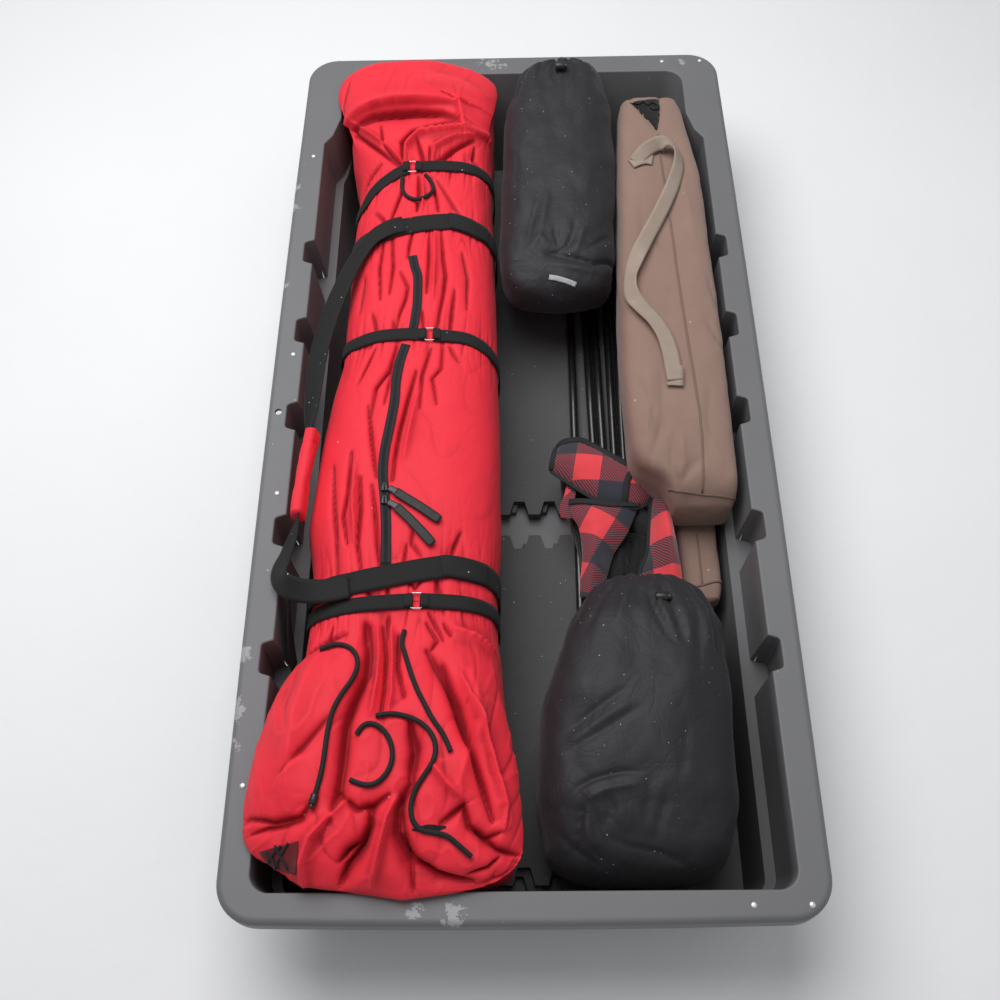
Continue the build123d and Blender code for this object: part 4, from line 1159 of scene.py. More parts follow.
class SLED_OT_hut_bag(bpy.types.Operator):
    """Make the hut's long bag as three closed cloth shells that meet under its end straps"""

    bl_idname = "sled.hut_bag"
    bl_label = "Hut bag"

    # Edge lines of the bag's vent and hem slit, and the vent's laces, in plan
    VENT = (
        ((-364, -772), (-357, -780), (-349, -787), (-342, -792)),
        ((-304, -764), (-303, -778), (-304, -792), (-307, -805)),
    )
    HEM_SLIT = (
        ((-150, -750), (-128, -745), (-104, -746)), ((-150, -752), (-126, -755), (-104, -749)),
    )
    LACES = (
        ((-338, -766), (-318, -796)), ((-318, -765), (-340, -792)), ((-352, -772), (-334, -790)),
        ((-330, -767), (-350, -784)),
    )

    def execute(self, context):
        body, full = bag_body()
        bag.update(body=body, normals=facing_out(body), full=full)
        surfaces["bag body"] = surface_of(body)
        lines = (
            body[0, :, 1],
            ring_route(body, STRAP_ROUTES["compression_strap_3"]),
            ring_route(body, STRAP_ROUTES["compression_strap_1"]),
            body[-1, :, 1],
        )
        shells = []
        for (name, rows, columns, solid), start, end in zip(BAG_PIECES, lines, lines[1:]):
            shell, hollows = self.folded(start, end, rows, columns)
            run = float(np.ptp(shell[:, columns // 2, 1])) / 1000
            made = closed_shell(name, shell, 0.98, run, "hut_cloth", (solid,), hollows)
            shells.append(shell)
        surfaces["bag"] = surface_of(*shells)
        cloth_patch("hut_bag_vent", "bag", self.VENT, "vent_mesh", "red_cloth")
        # Painted shade: a near-black patch stands for the shade inside the hem slit.
        cloth_patch("hut_bag_hem_slit_shade", "bag", self.HEM_SLIT, "chair_lining", "red_cloth")
        for index, (start, end) in enumerate(self.LACES, start=1):
            line = (start, np.mean([start, end], axis=0), end)
            webbing(
                f"hut_bag_lace_{index}", *laid_over("bag", line, 2.6, steps=4), 0.0035, 0.0012,
                "black_cord", cells=2, slot="black_webbing",
            )
        return {"FINISHED"}

    def smooth(self, start, end, rows, columns):
        """One length of the smooth form, between two lines round it, with finer columns."""
        body = bag["body"]
        y = body[:, 0, 1]
        share = np.linspace(0, 1, rows + 1)
        place = np.linspace(0, BAG_COLUMNS, columns + 1)
        low = np.minimum(place.astype(int), BAG_COLUMNS - 1)
        part = (place - low)[None, :, None]
        finer = body[:, low] * (1 - part) + body[:, low + 1] * part
        starts = np.interp(place, range(BAG_COLUMNS + 1), start)
        ends = np.interp(place, range(BAG_COLUMNS + 1), end)
        made = np.empty((rows + 1, columns + 1, 3))
        for column in range(columns + 1):
            run = starts[column] + (ends[column] - starts[column]) * share
            if run[0] == y[0]:
                run = y[0] + (run - y[0]) * (0.12 + 0.88 * share)
            if run[-1] == y[-1]:
                run = y[-1] + (run - y[-1]) * (0.12 + 0.88 * (1 - share))
            made[:, column, 0] = np.interp(run, y, finer[:, column, 0])
            made[:, column, 1] = run
            made[:, column, 2] = np.interp(run, y, finer[:, column, 2])
        return made

    def folded(self, start, end, rows, columns):
        """One length of the bag with its folds, a cap at each end, and each place's share of
        painted fold shade.
        """
        smooth = self.smooth(start, end, rows, columns)
        normals = facing_out(smooth)
        heights = bag_fold_heights(smooth, normals)
        full = np.interp(smooth[:, :, 1], bag["body"][:, 0, 1], bag["full"])
        heights *= np.clip(full * 1.4, 0, 1)
        shell = bag_in_tub(smooth + normals * heights[:, :, None])
        shell[:, -1] = shell[:, 0]
        # Painted shade in the folds, from their depth and how far each place lies below its
        # surroundings.
        hollows = painted_fold_shade(heights, normals)
        caps = shell[[0, -1]].mean(axis=1, keepdims=True).repeat(columns + 1, axis=1)
        shell = np.concatenate([caps[:1], shell, caps[1:]])
        return shell, np.concatenate([hollows[:1], hollows, hollows[-1:]])


class SLED_OT_straps(bpy.types.Operator):
    """Make the three compression straps with their wire buckles"""

    bl_idname = "sled.straps"
    bl_label = "Straps and buckles"

    # Where each buckle lies, in plan
    RINGS = ((-195, 509), (-151, 106), (-157, -404))
    # A buckle of wire: the wire's radius, its half width and the radius of its corners
    WIRE_RADIUS = 0.0011
    HALF_WIDTH = 0.0088
    CORNER = 0.0035
    # A strap's end folded over a buckle's side bar: way along, height and lean
    FOLD = (
        (0.0185, 0.0002, 0.1), (0.0145, 0.0014, 0.25), (0.0105, 0.0024, 0.1),
        (0.0085, 0.0026, -0.1), (0.0068, 0.0018, -0.7), (0.0063, 0.0004, -1.0),
        (0.0066, -0.0010, -1.3),
    )

    def execute(self, context):
        width = sizes().strap_width
        straps = zip(STRAP_ROUTES.items(), self.RINGS)
        for index, ((name, route), (x, y)) in enumerate(straps, start=1):
            centre, facing = ring_on_bag(route, 1.2)
            away = np.hypot(centre[:, 0] - x / 1000, (facing[:, 2] < 0) * 1.0)
            order = np.roll(np.arange(len(away)), -int(np.argmin(away)))
            order = order[away[order] > 0.0062]
            webbing(
                name + "_webbing", centre[order], facing[order], width, 0.0018,
                "black_webbing", (name,),
            )
            spot, up = below("bag body", x / 1000, y / 1000)
            self.buckle(index, spot + UP * 0.0035, up, width)
        return {"FINISHED"}

    def buckle(self, index, spot, facing, width):
        """A round wire ring, with the strap's two ends folded over its side bars."""
        corner = self.CORNER
        wide = self.HALF_WIDTH - corner
        tall = width / 2 + 0.0002 - corner
        path = []
        middles = ((wide, tall), (-wide, tall), (-wide, -tall), (wide, -tall))
        for quarter, (x, y) in enumerate(middles):
            for step in range(5):
                angle = math.pi * (quarter / 2 + step / 8)
                path.append(Vector((x + corner * math.cos(angle), y + corner * math.sin(angle), 0)))
        turn = turn_to(facing)
        place = Matrix.Translation(spot) @ turn
        bm = bmesh.new()
        wire_ring(bm, path, self.WIRE_RADIUS)
        bmesh.ops.transform(bm, matrix=place, verts=bm.verts)
        piece(bm, f"strap_ring_{index}", "buckle_steel", (f"strap_buckle_{index}",))
        for side, label in ((-1, "left"), (1, "right")):
            line = [place @ Vector((side * along, 0.0, height)) for along, height, _ in self.FOLD]
            ways = [
                turn @ Vector((side * math.sin(lean), 0.0, math.cos(lean)))
                for _, _, lean in self.FOLD
            ]
            webbing(
                f"strap_fold_{index}_{label}", through(line, 4), through(ways, 4), width - 0.003,
                0.0012, "black_webbing",
            )


class SLED_OT_carry_bands(bpy.types.Operator):
    """Make the carry bands, the handle's legs and the padded grip"""

    bl_idname = "sled.carry_bands"
    bl_label = "Carry bands and handle"

    # Legs of the handle: x, y and height above the rim, then the way the broad side faces
    FAR_LEG = (
        ((-205, 358, 43), (0.0, 0.0, 1.0)), ((-232, 350, 42), (-0.2, 0.0, 1.0)),
        ((-262, 330, 38), (-0.4, 0.0, 0.9)), ((-286, 297, 30), (-0.45, 0.0, 0.9)),
        ((-304, 259, 24), (-0.4, 0.0, 0.9)), ((-320, 216, 17), (-0.35, 0.0, 0.95)),
        ((-333, 172, 12), (-0.35, 0.0, 0.95)), ((-342, 130, 9), (-0.35, 0.0, 0.95)),
        ((-349, 80, 8), (-0.4, 0.0, 0.9)), ((-351, 20, 9), (-0.5, 0.0, 0.85)),
        ((-351, -40, 11), (-0.7, 0.0, 0.7)), ((-350, -84, 12), (-0.95, 0.0, 0.3)),
    )
    NEAR_LEG = (
        ((-357, -240, 12), (-0.95, 0.0, 0.3)), ((-362, -275, 12), (-0.8, 0.1, 0.6)),
        ((-368, -305, 15), (-0.7, 0.2, 0.7)), ((-374, -332, 20), (-0.6, 0.0, 0.8)),
        ((-373, -356, 27), (-0.5, -0.4, 0.75)), ((-357, -374, 33), (-0.25, -0.5, 0.85)),
        ((-330, -383, 34), (-0.1, -0.35, 0.95)), ((-296, -384, 36), (0.0, -0.05, 1.0)),
        ((-262, -379, 40), (0.0, 0.0, 1.0)),
    )
    HANGING_TAIL = (
        ((-352, -352, 12), (-1.0, -0.2, 0.1)), ((-360, -376, -4), (-1.0, -0.1, 0.2)),
        ((-363, -404, -26), (-1.0, 0.0, 0.1)), ((-362, -436, -54), (-1.0, 0.1, 0.0)),
        ((-360, -462, -84), (-1.0, 0.1, 0.0)),
    )
    # The grip: its middle (x and y in plan, height above the rim), lean, length and section
    GRIP_MIDDLE = (-351.0, -162.0, 15.0)
    GRIP_LEAN = math.radians(4.0)
    GRIP_LENGTH = 170.0
    GRIP_TALL = 42.0
    GRIP_WIDE = 24.0

    def execute(self, context):
        width = sizes().band_width
        for name, route in BAND_ROUTES.items():
            centre, facing = ring_on_bag(route, 1.6)
            webbing(
                name + "_webbing", centre, facing, width, 0.0022, "black_webbing", (name,),
                closed=True, cells=6,
            )
            doubled = (centre[:, 0] > -0.122) & (centre[:, 0] < -0.052) & (facing[:, 2] > 0.3)
            webbing(
                name + "_doubling", centre[doubled] + facing[doubled] * 0.0026, facing[doubled],
                width * 0.97, 0.0022, "black_webbing", cells=6,
            )
        for name, route, nodes, share in (
            ("carry_handle_far_webbing", self.FAR_LEG, ("carry_handle_far",), 1.0),
            ("carry_handle_near_webbing", self.NEAR_LEG, ("carry_handle_near",), 1.0),
            ("carry_strap_tail", self.HANGING_TAIL, (), 0.8),
        ):
            webbing(name, *posed(route), width * share, 0.0024, "black_webbing", nodes, cells=6)
        self.grip()
        return {"FINISHED"}

    def grip(self):
        """A padded red sleeve wrapped round the handle."""
        rows = 56
        columns = 48
        middle_x, middle_y, middle_z = self.GRIP_MIDDLE
        shape = []
        for share in (row / rows for row in range(rows + 1)):
            along = self.GRIP_LENGTH * (share - 0.5)
            full = 1.0 if 0.02 < share < 0.98 else 0.72
            tall = self.GRIP_TALL / 2 * full * (0.95 + 0.06 * math.sin(share * 7.1 + 0.6))
            wide = self.GRIP_WIDE / 2 * full * (0.95 + 0.08 * math.sin(share * 9.3))
            x, z = rounded_ring(-wide, wide, -tall, tall, 2.7, columns, 0.5)
            sway = 2.0 * math.sin(share * math.pi)
            y = np.full_like(x, middle_y + along * math.cos(self.GRIP_LEAN))
            x = middle_x + along * math.sin(self.GRIP_LEAN) + x - sway
            shape.append(np.stack([x, y, RIM + middle_z + z], axis=1))
        places = np.array(shape)
        _, y, z = np.moveaxis(places, 2, 0)
        ripple = wrinkle(z / 14, y / 42, 4.4)
        folds = fold_heights(z, y, (
            (-3.0, 4, 4, ((RIM + 34, -110), (RIM + 18, -104), (RIM - 4, -112))),
            (-2.5, 4, 4, ((RIM + 30, -196), (RIM + 10, -206), (RIM - 2, -198))),
        ))
        places = places + facing_out(places) * (ripple * 1.6 + folds)[:, :, None]
        made = closed_shell("handle_sleeve", places, 0.12, 0.17, "hut_cloth", ("handle_grip",))


def upright(centre):
    """A facing straight up for each place."""
    return np.tile([0.0, 0.0, 1.0], (len(centre), 1))


class SLED_OT_zip(bpy.types.Operator):
    """Make the zip's tape, sliders and pull tabs"""

    bl_idname = "sled.zip"
    bl_label = "Zip, sliders and pulls"

    SLIDERS = ((-214, -206), (-213, -230))
    SLIDER_SIZE = (0.0115, 0.016, 0.0042)
    PULLS = (
        ((-207, -209), (-196, -216), (-178, -229), (-152, -247), (-124, -267)),
        ((-207, -236), (-194, -244), (-176, -262), (-155, -285), (-134, -309)),
    )

    def execute(self, context):
        for name, route, nodes in (
            ("zip_tape_far", ZIP_FAR_ROUTE, ()), ("zip_tape_near", ZIP_NEAR_ROUTE, ("zip_tape",)),
        ):
            centre = self.over_bag(through(route, 6), 1.6)
            width = sizes().zip_width
            webbing(name, centre, upright(centre), width, 0.0012, "zip_tape", nodes, cells=8)
        for index, (x, y) in enumerate(self.SLIDERS, start=1):
            self.slider(index, below("bag", x / 1000, y / 1000)[0])
        for index, route in enumerate(self.PULLS, start=1):
            self.pull(index, route)
        return {"FINISHED"}

    def over_bag(self, route, lift):
        """Places over the bag's folded top, drawn tight across its small hollows."""
        heights = [below("bag", x / 1000, y / 1000)[0].z for x, y in route]
        padded = np.pad(heights, 3, mode="edge")
        made = []
        for k, (x, y) in enumerate(route):
            around = padded[k:k + 7]
            drawn = around.mean() * 0.5 + around.max() * 0.5
            made.append((x / 1000, y / 1000, drawn + lift / 1000))
        return np.array(made)

    def slider(self, index, spot):
        """A slider: a waisted body and the bridge that holds the pull."""
        bm = bmesh.new()
        made = bmesh.ops.create_cube(bm, size=1.0)["verts"]
        bmesh.ops.scale(bm, vec=self.SLIDER_SIZE, verts=made)
        for vert in made:
            if vert.co.y > 0:
                vert.co.x *= 0.78
        bmesh.ops.bevel(
            bm, geom=list(bm.edges), offset=0.0012, segments=2, affect="EDGES", profile=0.5,
            material=-1,
        )
        bridge = [
            Vector((0.0, 0.0045 * math.cos(a) - 0.0015, 0.0042 * math.sin(a) + 0.0016))
            for a in np.linspace(0, math.tau, 14, endpoint=False)
        ]
        wire_ring(bm, bridge, 0.0011, sides=8)
        bmesh.ops.translate(bm, vec=spot + UP * 0.0052, verts=bm.verts)
        piece(bm, f"zip_slider_{index}_body", "slider_metal", (f"zip_slider_{index}",))

    def pull(self, index, route):
        """A pull: a narrow link and a wide bare tab."""
        centre = self.over_bag(through(route, 8), 3.4 + index)
        run = np.linspace(0, 98, len(centre))
        near = run < 30
        width = np.interp(run, [0, 3, 20, 26, 29], [7, 10, 10, 13, 11])[near] / 1000
        link = centre[near] + [0, 0, 0.0012]
        webbing(f"zip_pull_{index}_link", link, upright(link), width, 0.0022, "pull_link")
        width = np.interp(run, [0, 22, 26, 92, 96, 98], [6, 8, 14.5, 15, 14, 11]) / 1000
        webbing(
            f"zip_pull_{index}_tab", centre, upright(centre), width, 0.0026, "pull_rubber",
            (f"zip_pull_{index}",), cells=6,
        )


# ---- Cords of the hut bag: x, y and height above the rim, in millimetres

CORD_ROUTES = {
    "drawcord_left": (
        (-299, -482, 49), (-283, -474, 49), (-262, -475, 49), (-245, -487, 51), (-238, -508, 55),
        (-244, -533, 60), (-259, -558, 62), (-270, -585, 64), (-274, -616, 66), (-275, -649, 68),
        (-278, -681, 71), (-284, -704, 72),
    ),
    "drawcord_right": (
        (-173, -453, 46.5), (-178, -471, 48), (-170, -494, 51), (-161, -523, 59),
        (-150, -552, 61.5), (-137, -577, 63), (-125, -600, 65), (-108, -622, 66.5), (-99, -646, 68),
    ),
    "drawcord_long": (
        (-206, -594, 64.5), (-187, -590, 64.5), (-165, -593, 64.5), (-145, -601, 65.5),
        (-129, -615, 66.5), (-119, -636, 68), (-121, -660, 69.5), (-134, -679, 70.5),
        (-147, -698, 71), (-153, -720, 70), (-150, -741, 69), (-137, -754, 68), (-117, -756, 67),
        (-101, -760, 66.5), (-86, -772, 63), (-69, -786, 58),
    ),
    "drawcord_curl": (
        (-232, -621, 65.7), (-225, -607, 65.2), (-209, -605, 64.8), (-193, -615, 65.7),
        (-182, -634, 67.2), (-179, -656, 68.3), (-186, -677, 69.8), (-201, -692, 70.4),
        (-219, -694, 70.4), (-237, -685, 70.2),
    ),
    "strap_tail_loop": (
        (-214, 486, 40), (-215, 470, 40), (-212, 449, 40.5), (-203, 431, 41), (-186, 421, 41.5),
        (-168, 425, 41.5), (-156, 441, 41), (-153, 460, 40.5), (-159, 476, 40), (-170, 488, 40),
    ),
}
# How far in metres a cord's point may be moved to the folded cloth
CORD_DRAPE = 0.009


class SLED_OT_cords(bpy.types.Operator):
    """Lay the drawcords, the strap's tail loop and the cord lock"""

    bl_idname = "sled.cords"
    bl_label = "Cords"

    # The cord lock's barrel and plunger: low, high and radius in metres
    LOCK_PARTS = ((0.0003, 0.0143, 0.0055), (0.0143, 0.0203, 0.0038))

    def execute(self, context):
        lock = self.lock()
        for name, route in CORD_ROUTES.items():
            points = self.draped(route)
            line = bpy.data.curves.new(name + "_line", "CURVE")
            line.dimensions = "3D"
            line.bevel_depth = sizes().cord_diameter / 2
            line.bevel_resolution = 4
            line.use_fill_caps = True
            line.resolution_u = 8
            spline = line.splines.new("NURBS")
            spline.points.add(len(points) - 1)
            for held, point in zip(spline.points, points):
                held.co = (*point, 1.0)
            spline.order_u = 3
            spline.use_endpoint_u = True
            line.materials.append(finishes["black_cord"])
            made = bpy.data.objects.new(name + "_cord", line)
            context.scene.collection.objects.link(made)
            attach(made, BODY)
            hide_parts(name)
        return {"FINISHED"}

    def draped(self, route):
        """A route's points brought up or down to the folded cloth, as far as they may be."""
        points = metres(route)
        moves = []
        for point in points:
            spot, _ = below("bag", point.x, point.y)
            gap = 0.0 if spot is None else spot.z + sizes().cord_diameter / 2 - point.z
            moves.append(min(max(gap, -CORD_DRAPE), CORD_DRAPE))
        beside = [(a + b) / 2 - 0.001 for a, b in zip(moves, moves[2:])]
        beside = [moves[0], *beside, moves[-1]]
        return [point + UP * max(own, near) for point, own, near in zip(points, moves, beside)]

    def lock(self):
        """The cord lock: a small barrel with a sprung plunger."""
        before, end = self.draped(CORD_ROUTES["drawcord_left"])[-2:]
        place = Matrix.Translation(end) @ turn_to((end - before).normalized())
        return cord_lock(
            "drawcord_lock_body", self.LOCK_PARTS, 24, 0.0008, place, "drawcord_lock",
            "black_cord",
        )


# ---- Stuff sacks

# y, left, right, bottom and top of each sack's section, heights above the rim
FAR_SACK_SECTIONS = (
    (226, 36, 122, -56, -18), (242, -2, 162, -80, 4), (268, -20, 180, -98, 16),
    (300, -27, 187, -116, 26), (345, -29, 191, -158, 33), (560, -26, 202, -156, 50),
    (690, -16, 202, -138, 57), (770, 10, 180, -70, 57), (806, 50, 146, -4, 46),
)
NEAR_SACK_SECTIONS = (
    (-804, 94, 262, -128, -32), (-770, 36, 300, -184, 7), (-690, 18, 318, -198, 33),
    (-540, 30, 324, -198, 45), (-420, 75, 321, -194, 30), (-352, 110, 292, -168, 0),
    (-325, 146, 252, -138, -30),
)
FAR_SACK_FOLDS = (
    (-7, 6, 7, ((90, 812), (90, 790), (86, 755))), (-6, 5, 6, ((113, 812), (114, 785), (112, 760))),
    (-5, 6, 6, ((134, 812), (144, 787), (152, 740))), (-5, 6, 6, ((66, 812), (58, 780), (48, 730))),
    (-5, 8, 8, ((44, 800), (20, 758), (0, 690))), (4, 9, 9, ((102, 815), (100, 780), (98, 740))),
    (-7, 9, 12, ((50, 450), (45, 420), (31, 367), (20, 315))),
    (5, 12, 10, ((64, 440), (56, 390), (44, 335))),
    (-10, 6, 9, ((114, 366), (106, 330), (96, 312), (70, 298))),
    (7, 8, 7, ((128, 355), (120, 325), (112, 305))),
    (-13, 8, 12, ((56, 303), (104, 291), (144, 281), (186, 299))),
    (-8, 8, 10, ((176, 350), (158, 330), (138, 312))),
    (-7, 6, 6, ((74, 362), (76, 342), (82, 316))), (5, 10, 10, ((34, 318), (47, 338), (62, 318))),
    (-7, 6, 8, ((150, 284), (172, 292), (190, 304))),
    (6, 10, 12, ((60, 280), (110, 272), (150, 266))), (-3, 14, 14, ((10, 620), (4, 520), (2, 420))),
)
NEAR_SACK_FOLDS = (
    (-9, 5, 6, ((192, -350), (188, -377), (184, -402))),
    (-9, 6, 6, ((198, -378), (208, -420), (226, -470))),
    (-9, 5, 6, ((219, -350), (224, -381), (230, -404))),
    (-9, 6, 6, ((230, -392), (240, -441), (248, -478))),
    (-6, 5, 6, ((262, -375), (272, -431), (268, -482), (258, -536))),
    (-9, 6, 6, ((289, -388), (297, -438), (298, -490))),
    (-8, 6, 6, ((302, -400), (311, -451), (316, -490))),
    (-8, 8, 8, ((162, -342), (141, -368), (122, -401), (106, -440))),
    (6, 8, 8, ((178, -350), (166, -385), (150, -430))),
    (6, 6, 6, ((208, -370), (216, -405), (232, -450))),
    (6, 6, 6, ((250, -380), (256, -425), (258, -480))),
    (6, 6, 6, ((280, -388), (284, -430), (284, -480))),
    (-7, 12, 10, ((150, -548), (104, -578), (66, -604))),
    (5, 14, 12, ((160, -566), (116, -592), (70, -620))),
    (-6, 12, 10, ((172, -575), (121, -605), (70, -632))),
    (-10, 7, 14, ((168, -668), (139, -668), (102, -676), (81, -686), (58, -712))),
    (7, 12, 10, ((160, -684), (120, -690), (88, -704))),
    (-12, 8, 9, ((86, -700), (79, -733), (73, -770))),
    (8, 8, 8, ((92, -706), (92, -738), (94, -768))),
    (-9, 7, 8, ((99, -704), (104, -740), (112, -775))), (-7, 7, 8, ((94, -762), (114, -786))),
    (-6, 6, 10, ((123, -754), (149, -765), (199, -775), (237, -790), (258, -797))),
    (-7, 9, 9, ((184, -668), (178, -700), (172, -734))),
    (-8, 10, 9, ((208, -686), (192, -731), (182, -770))),
    (-7, 8, 8, ((114, -740), (124, -719), (116, -698))),
    (-6, 8, 10, ((42, -733), (71, -768), (114, -792))),
    (5, 9, 9, ((136, -700), (140, -730), (150, -756))),
    (-4, 8, 8, ((240, -600), (230, -650), (219, -701))),
    (-4, 16, 16, ((296, -560), (300, -640), (290, -720))),
)


class SLED_OT_stuff_sacks(bpy.types.Operator):
    """Make the two dark stuff sacks, their drawn mouths and toggles"""

    bl_idname = "sled.stuff_sacks"
    bl_label = "Stuff sacks"

    LABEL = ((62, 256), (78, 252), (96, 247), (111, 243))
    # A toggle's barrel and plunger: low, high and radius in metres
    TOGGLE_PARTS = ((-0.012, 0.006, 0.0082), (0.006, 0.0118, 0.0062))

    def execute(self, context):
        self.sack("far", FAR_SACK_SECTIONS, FAR_SACK_FOLDS, 3.3, (96.0, 790.0, 48.0), 6.1)
        self.sack("near", NEAR_SACK_SECTIONS, NEAR_SACK_FOLDS, 3.0, (202.0, -350.0, -60.0), 2.6)
        label = laid_over("stuff_sack_far_cloth", self.LABEL, 1.2, steps=5)
        webbing("sack_label", *label, 0.0095, 0.0007, "label_cloth")
        for end in ("near", "far"):
            low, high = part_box(f"sack_toggle_{end}")
            turn = Matrix.Rotation(math.radians(90), 4, "Y")
            cord_lock(
                f"sack_lock_{end}", self.TOGGLE_PARTS, 28, 0.001,
                Matrix.Translation((low + high) / 2) @ turn, f"sack_toggle_{end}",
                "toggle_plastic",
            )
        return {"FINISHED"}

    def sack(self, end, sections, folds, roundness, mouth, seed):
        """A stuffed sack with its folds, gathered round its mouth."""
        places, full = stuffed(sections, 150, 112, roundness, 16.0)
        normals = facing_out(places)
        x, y, z = np.moveaxis(places, 2, 0)
        heights = fold_heights(x, y, folds) * ease(-0.1, 0.4, normals[:, :, 2]) * 0.8
        heights += wrinkle(x / 90, y / 100 + z / 80, seed) * 4.0
        heights += wrinkle(x / 30, y / 60 + z / 34, seed + 2) * 1.8
        above = z - RIM - mouth[2]
        away = np.hypot(y - mouth[1], above * 0.7)
        turn = np.arctan2(above, x - mouth[0])
        gathers = np.sin(turn * 19 + wrinkle(x / 60, y / 60, seed + 4) * 2.4)
        heights += gathers * 3.2 * np.exp(-away / 60.0)
        heights -= ease(0.3, 1.0, 1 - np.abs(normals[:, :, 2])) * 1.2
        places = places + normals * (heights * np.clip(full * 1.2, 0, 1)[:, None])[:, :, None]
        places[:, :, 2] = np.maximum(places[:, :, 2], SACK_SEAT)
        places[:, :, 1] = np.clip(places[:, :, 1], *SACK_IN_WELL)
        made = closed_shell(
            f"stuff_sack_{end}_cloth", places, 0.9, 0.6, "sack_cloth", (f"stuff_sack_{end}",),
        )


# ---- Folding chair

# y, left, right, bottom and top of the folded seat's section, heights above the rim
SEAT_SECTIONS = (
    (-325, 152, 240, -196, -128), (-290, 110, 252, -198, -122), (-206, 98, 250, -198, -118),
    (-199, 96, 192, -198, -118), (-120, 76, 184, -198, -114), (-52, 76, 148, -198, -140),
)
# Corner places of each sheet, row by row: x, y and height above the rim
CHECK_FLAP = (
    (
        (70, -50, -96), (84, -43, -84), (112, -43, -80), (132, -57, -76), (180, -92, -72),
        (212, -113, -68), (236, -131, -68),
    ),
    (
        (66, -64, -90), (84, -62, -80), (112, -64, -74), (140, -76, -70), (180, -106, -68),
        (212, -126, -66), (238, -140, -70),
    ),
    (
        (62, -80, -90), (80, -82, -80), (106, -88, -72), (138, -102, -68), (176, -126, -68),
        (208, -142, -70), (234, -149, -76),
    ),
    (
        (60, -90, -94), (84, -104, -86), (110, -122, -80), (142, -142, -78), (176, -156, -78),
        (206, -162, -80), (229, -157, -84),
    ),
    (
        (60, -94, -100), (92, -122, -96), (120, -146, -92), (146, -162, -90), (176, -172, -90),
        (206, -174, -90), (226, -162, -92),
    ),
)
CHECK_PANEL = (
    (
        (88, -158, -98), (104, -160, -92), (128, -165, -86), (154, -170, -84), (183, -171, -84),
        (209, -170, -88),
    ),
    (
        (92, -182, -102), (106, -186, -94), (130, -192, -84), (156, -196, -84), (178, -196, -90),
        (198, -193, -98),
    ),
    (
        (103, -205, -102), (112, -210, -95), (130, -218, -84), (150, -222, -86), (166, -224, -94),
        (184, -222, -104),
    ),
    (
        (107, -236, -104), (113, -242, -96), (126, -250, -86), (138, -254, -90), (150, -255, -100),
        (163, -252, -110),
    ),
    (
        (107, -268, -106), (113, -275, -99), (124, -282, -91), (134, -285, -94), (144, -285, -104),
        (153, -280, -114),
    ),
    (
        (103, -300, -108), (109, -304, -103), (118, -307, -97), (128, -307, -100),
        (138, -305, -108), (147, -300, -116),
    ),
    (
        (101, -332, -112), (107, -334, -108), (115, -335, -102), (124, -335, -106),
        (132, -333, -112), (140, -330, -120),
    ),
)
CHECK_CONE = (
    ((243, -126, -84), (245, -124, -72), (247, -123, -62), (249, -124, -64), (251, -127, -74)),
    ((230, -166, -90), (237, -166, -74), (245, -165, -60), (253, -166, -60), (258, -170, -74)),
    ((224, -212, -94), (232, -212, -78), (242, -212, -64), (253, -212, -60), (262, -216, -76)),
    ((218, -258, -98), (229, -258, -82), (241, -258, -72), (254, -262, -62), (267, -266, -78)),
    ((204, -290, -104), (221, -294, -92), (238, -298, -84), (255, -302, -74), (270, -308, -84)),
    ((198, -326, -112), (217, -326, -102), (238, -330, -96), (256, -334, -88), (271, -338, -96)),
)
CHECK_SIDE = (
    ((86, -118, -104), (94, -124, -101), (102, -132, -98)),
    ((80, -142, -107), (88, -147, -103), (98, -152, -101)),
    ((72, -162, -110), (82, -165, -107), (94, -168, -104)),
    ((74, -180, -114), (84, -183, -111), (96, -185, -108)),
)


def net_surface(net, steps):
    """A smooth sheet through a net of places, with steps between each two."""
    rows = np.array([through(row, steps) for row in net])
    return np.array([through(rows[:, k], steps) for k in range(rows.shape[1])]).transpose(1, 0, 2)


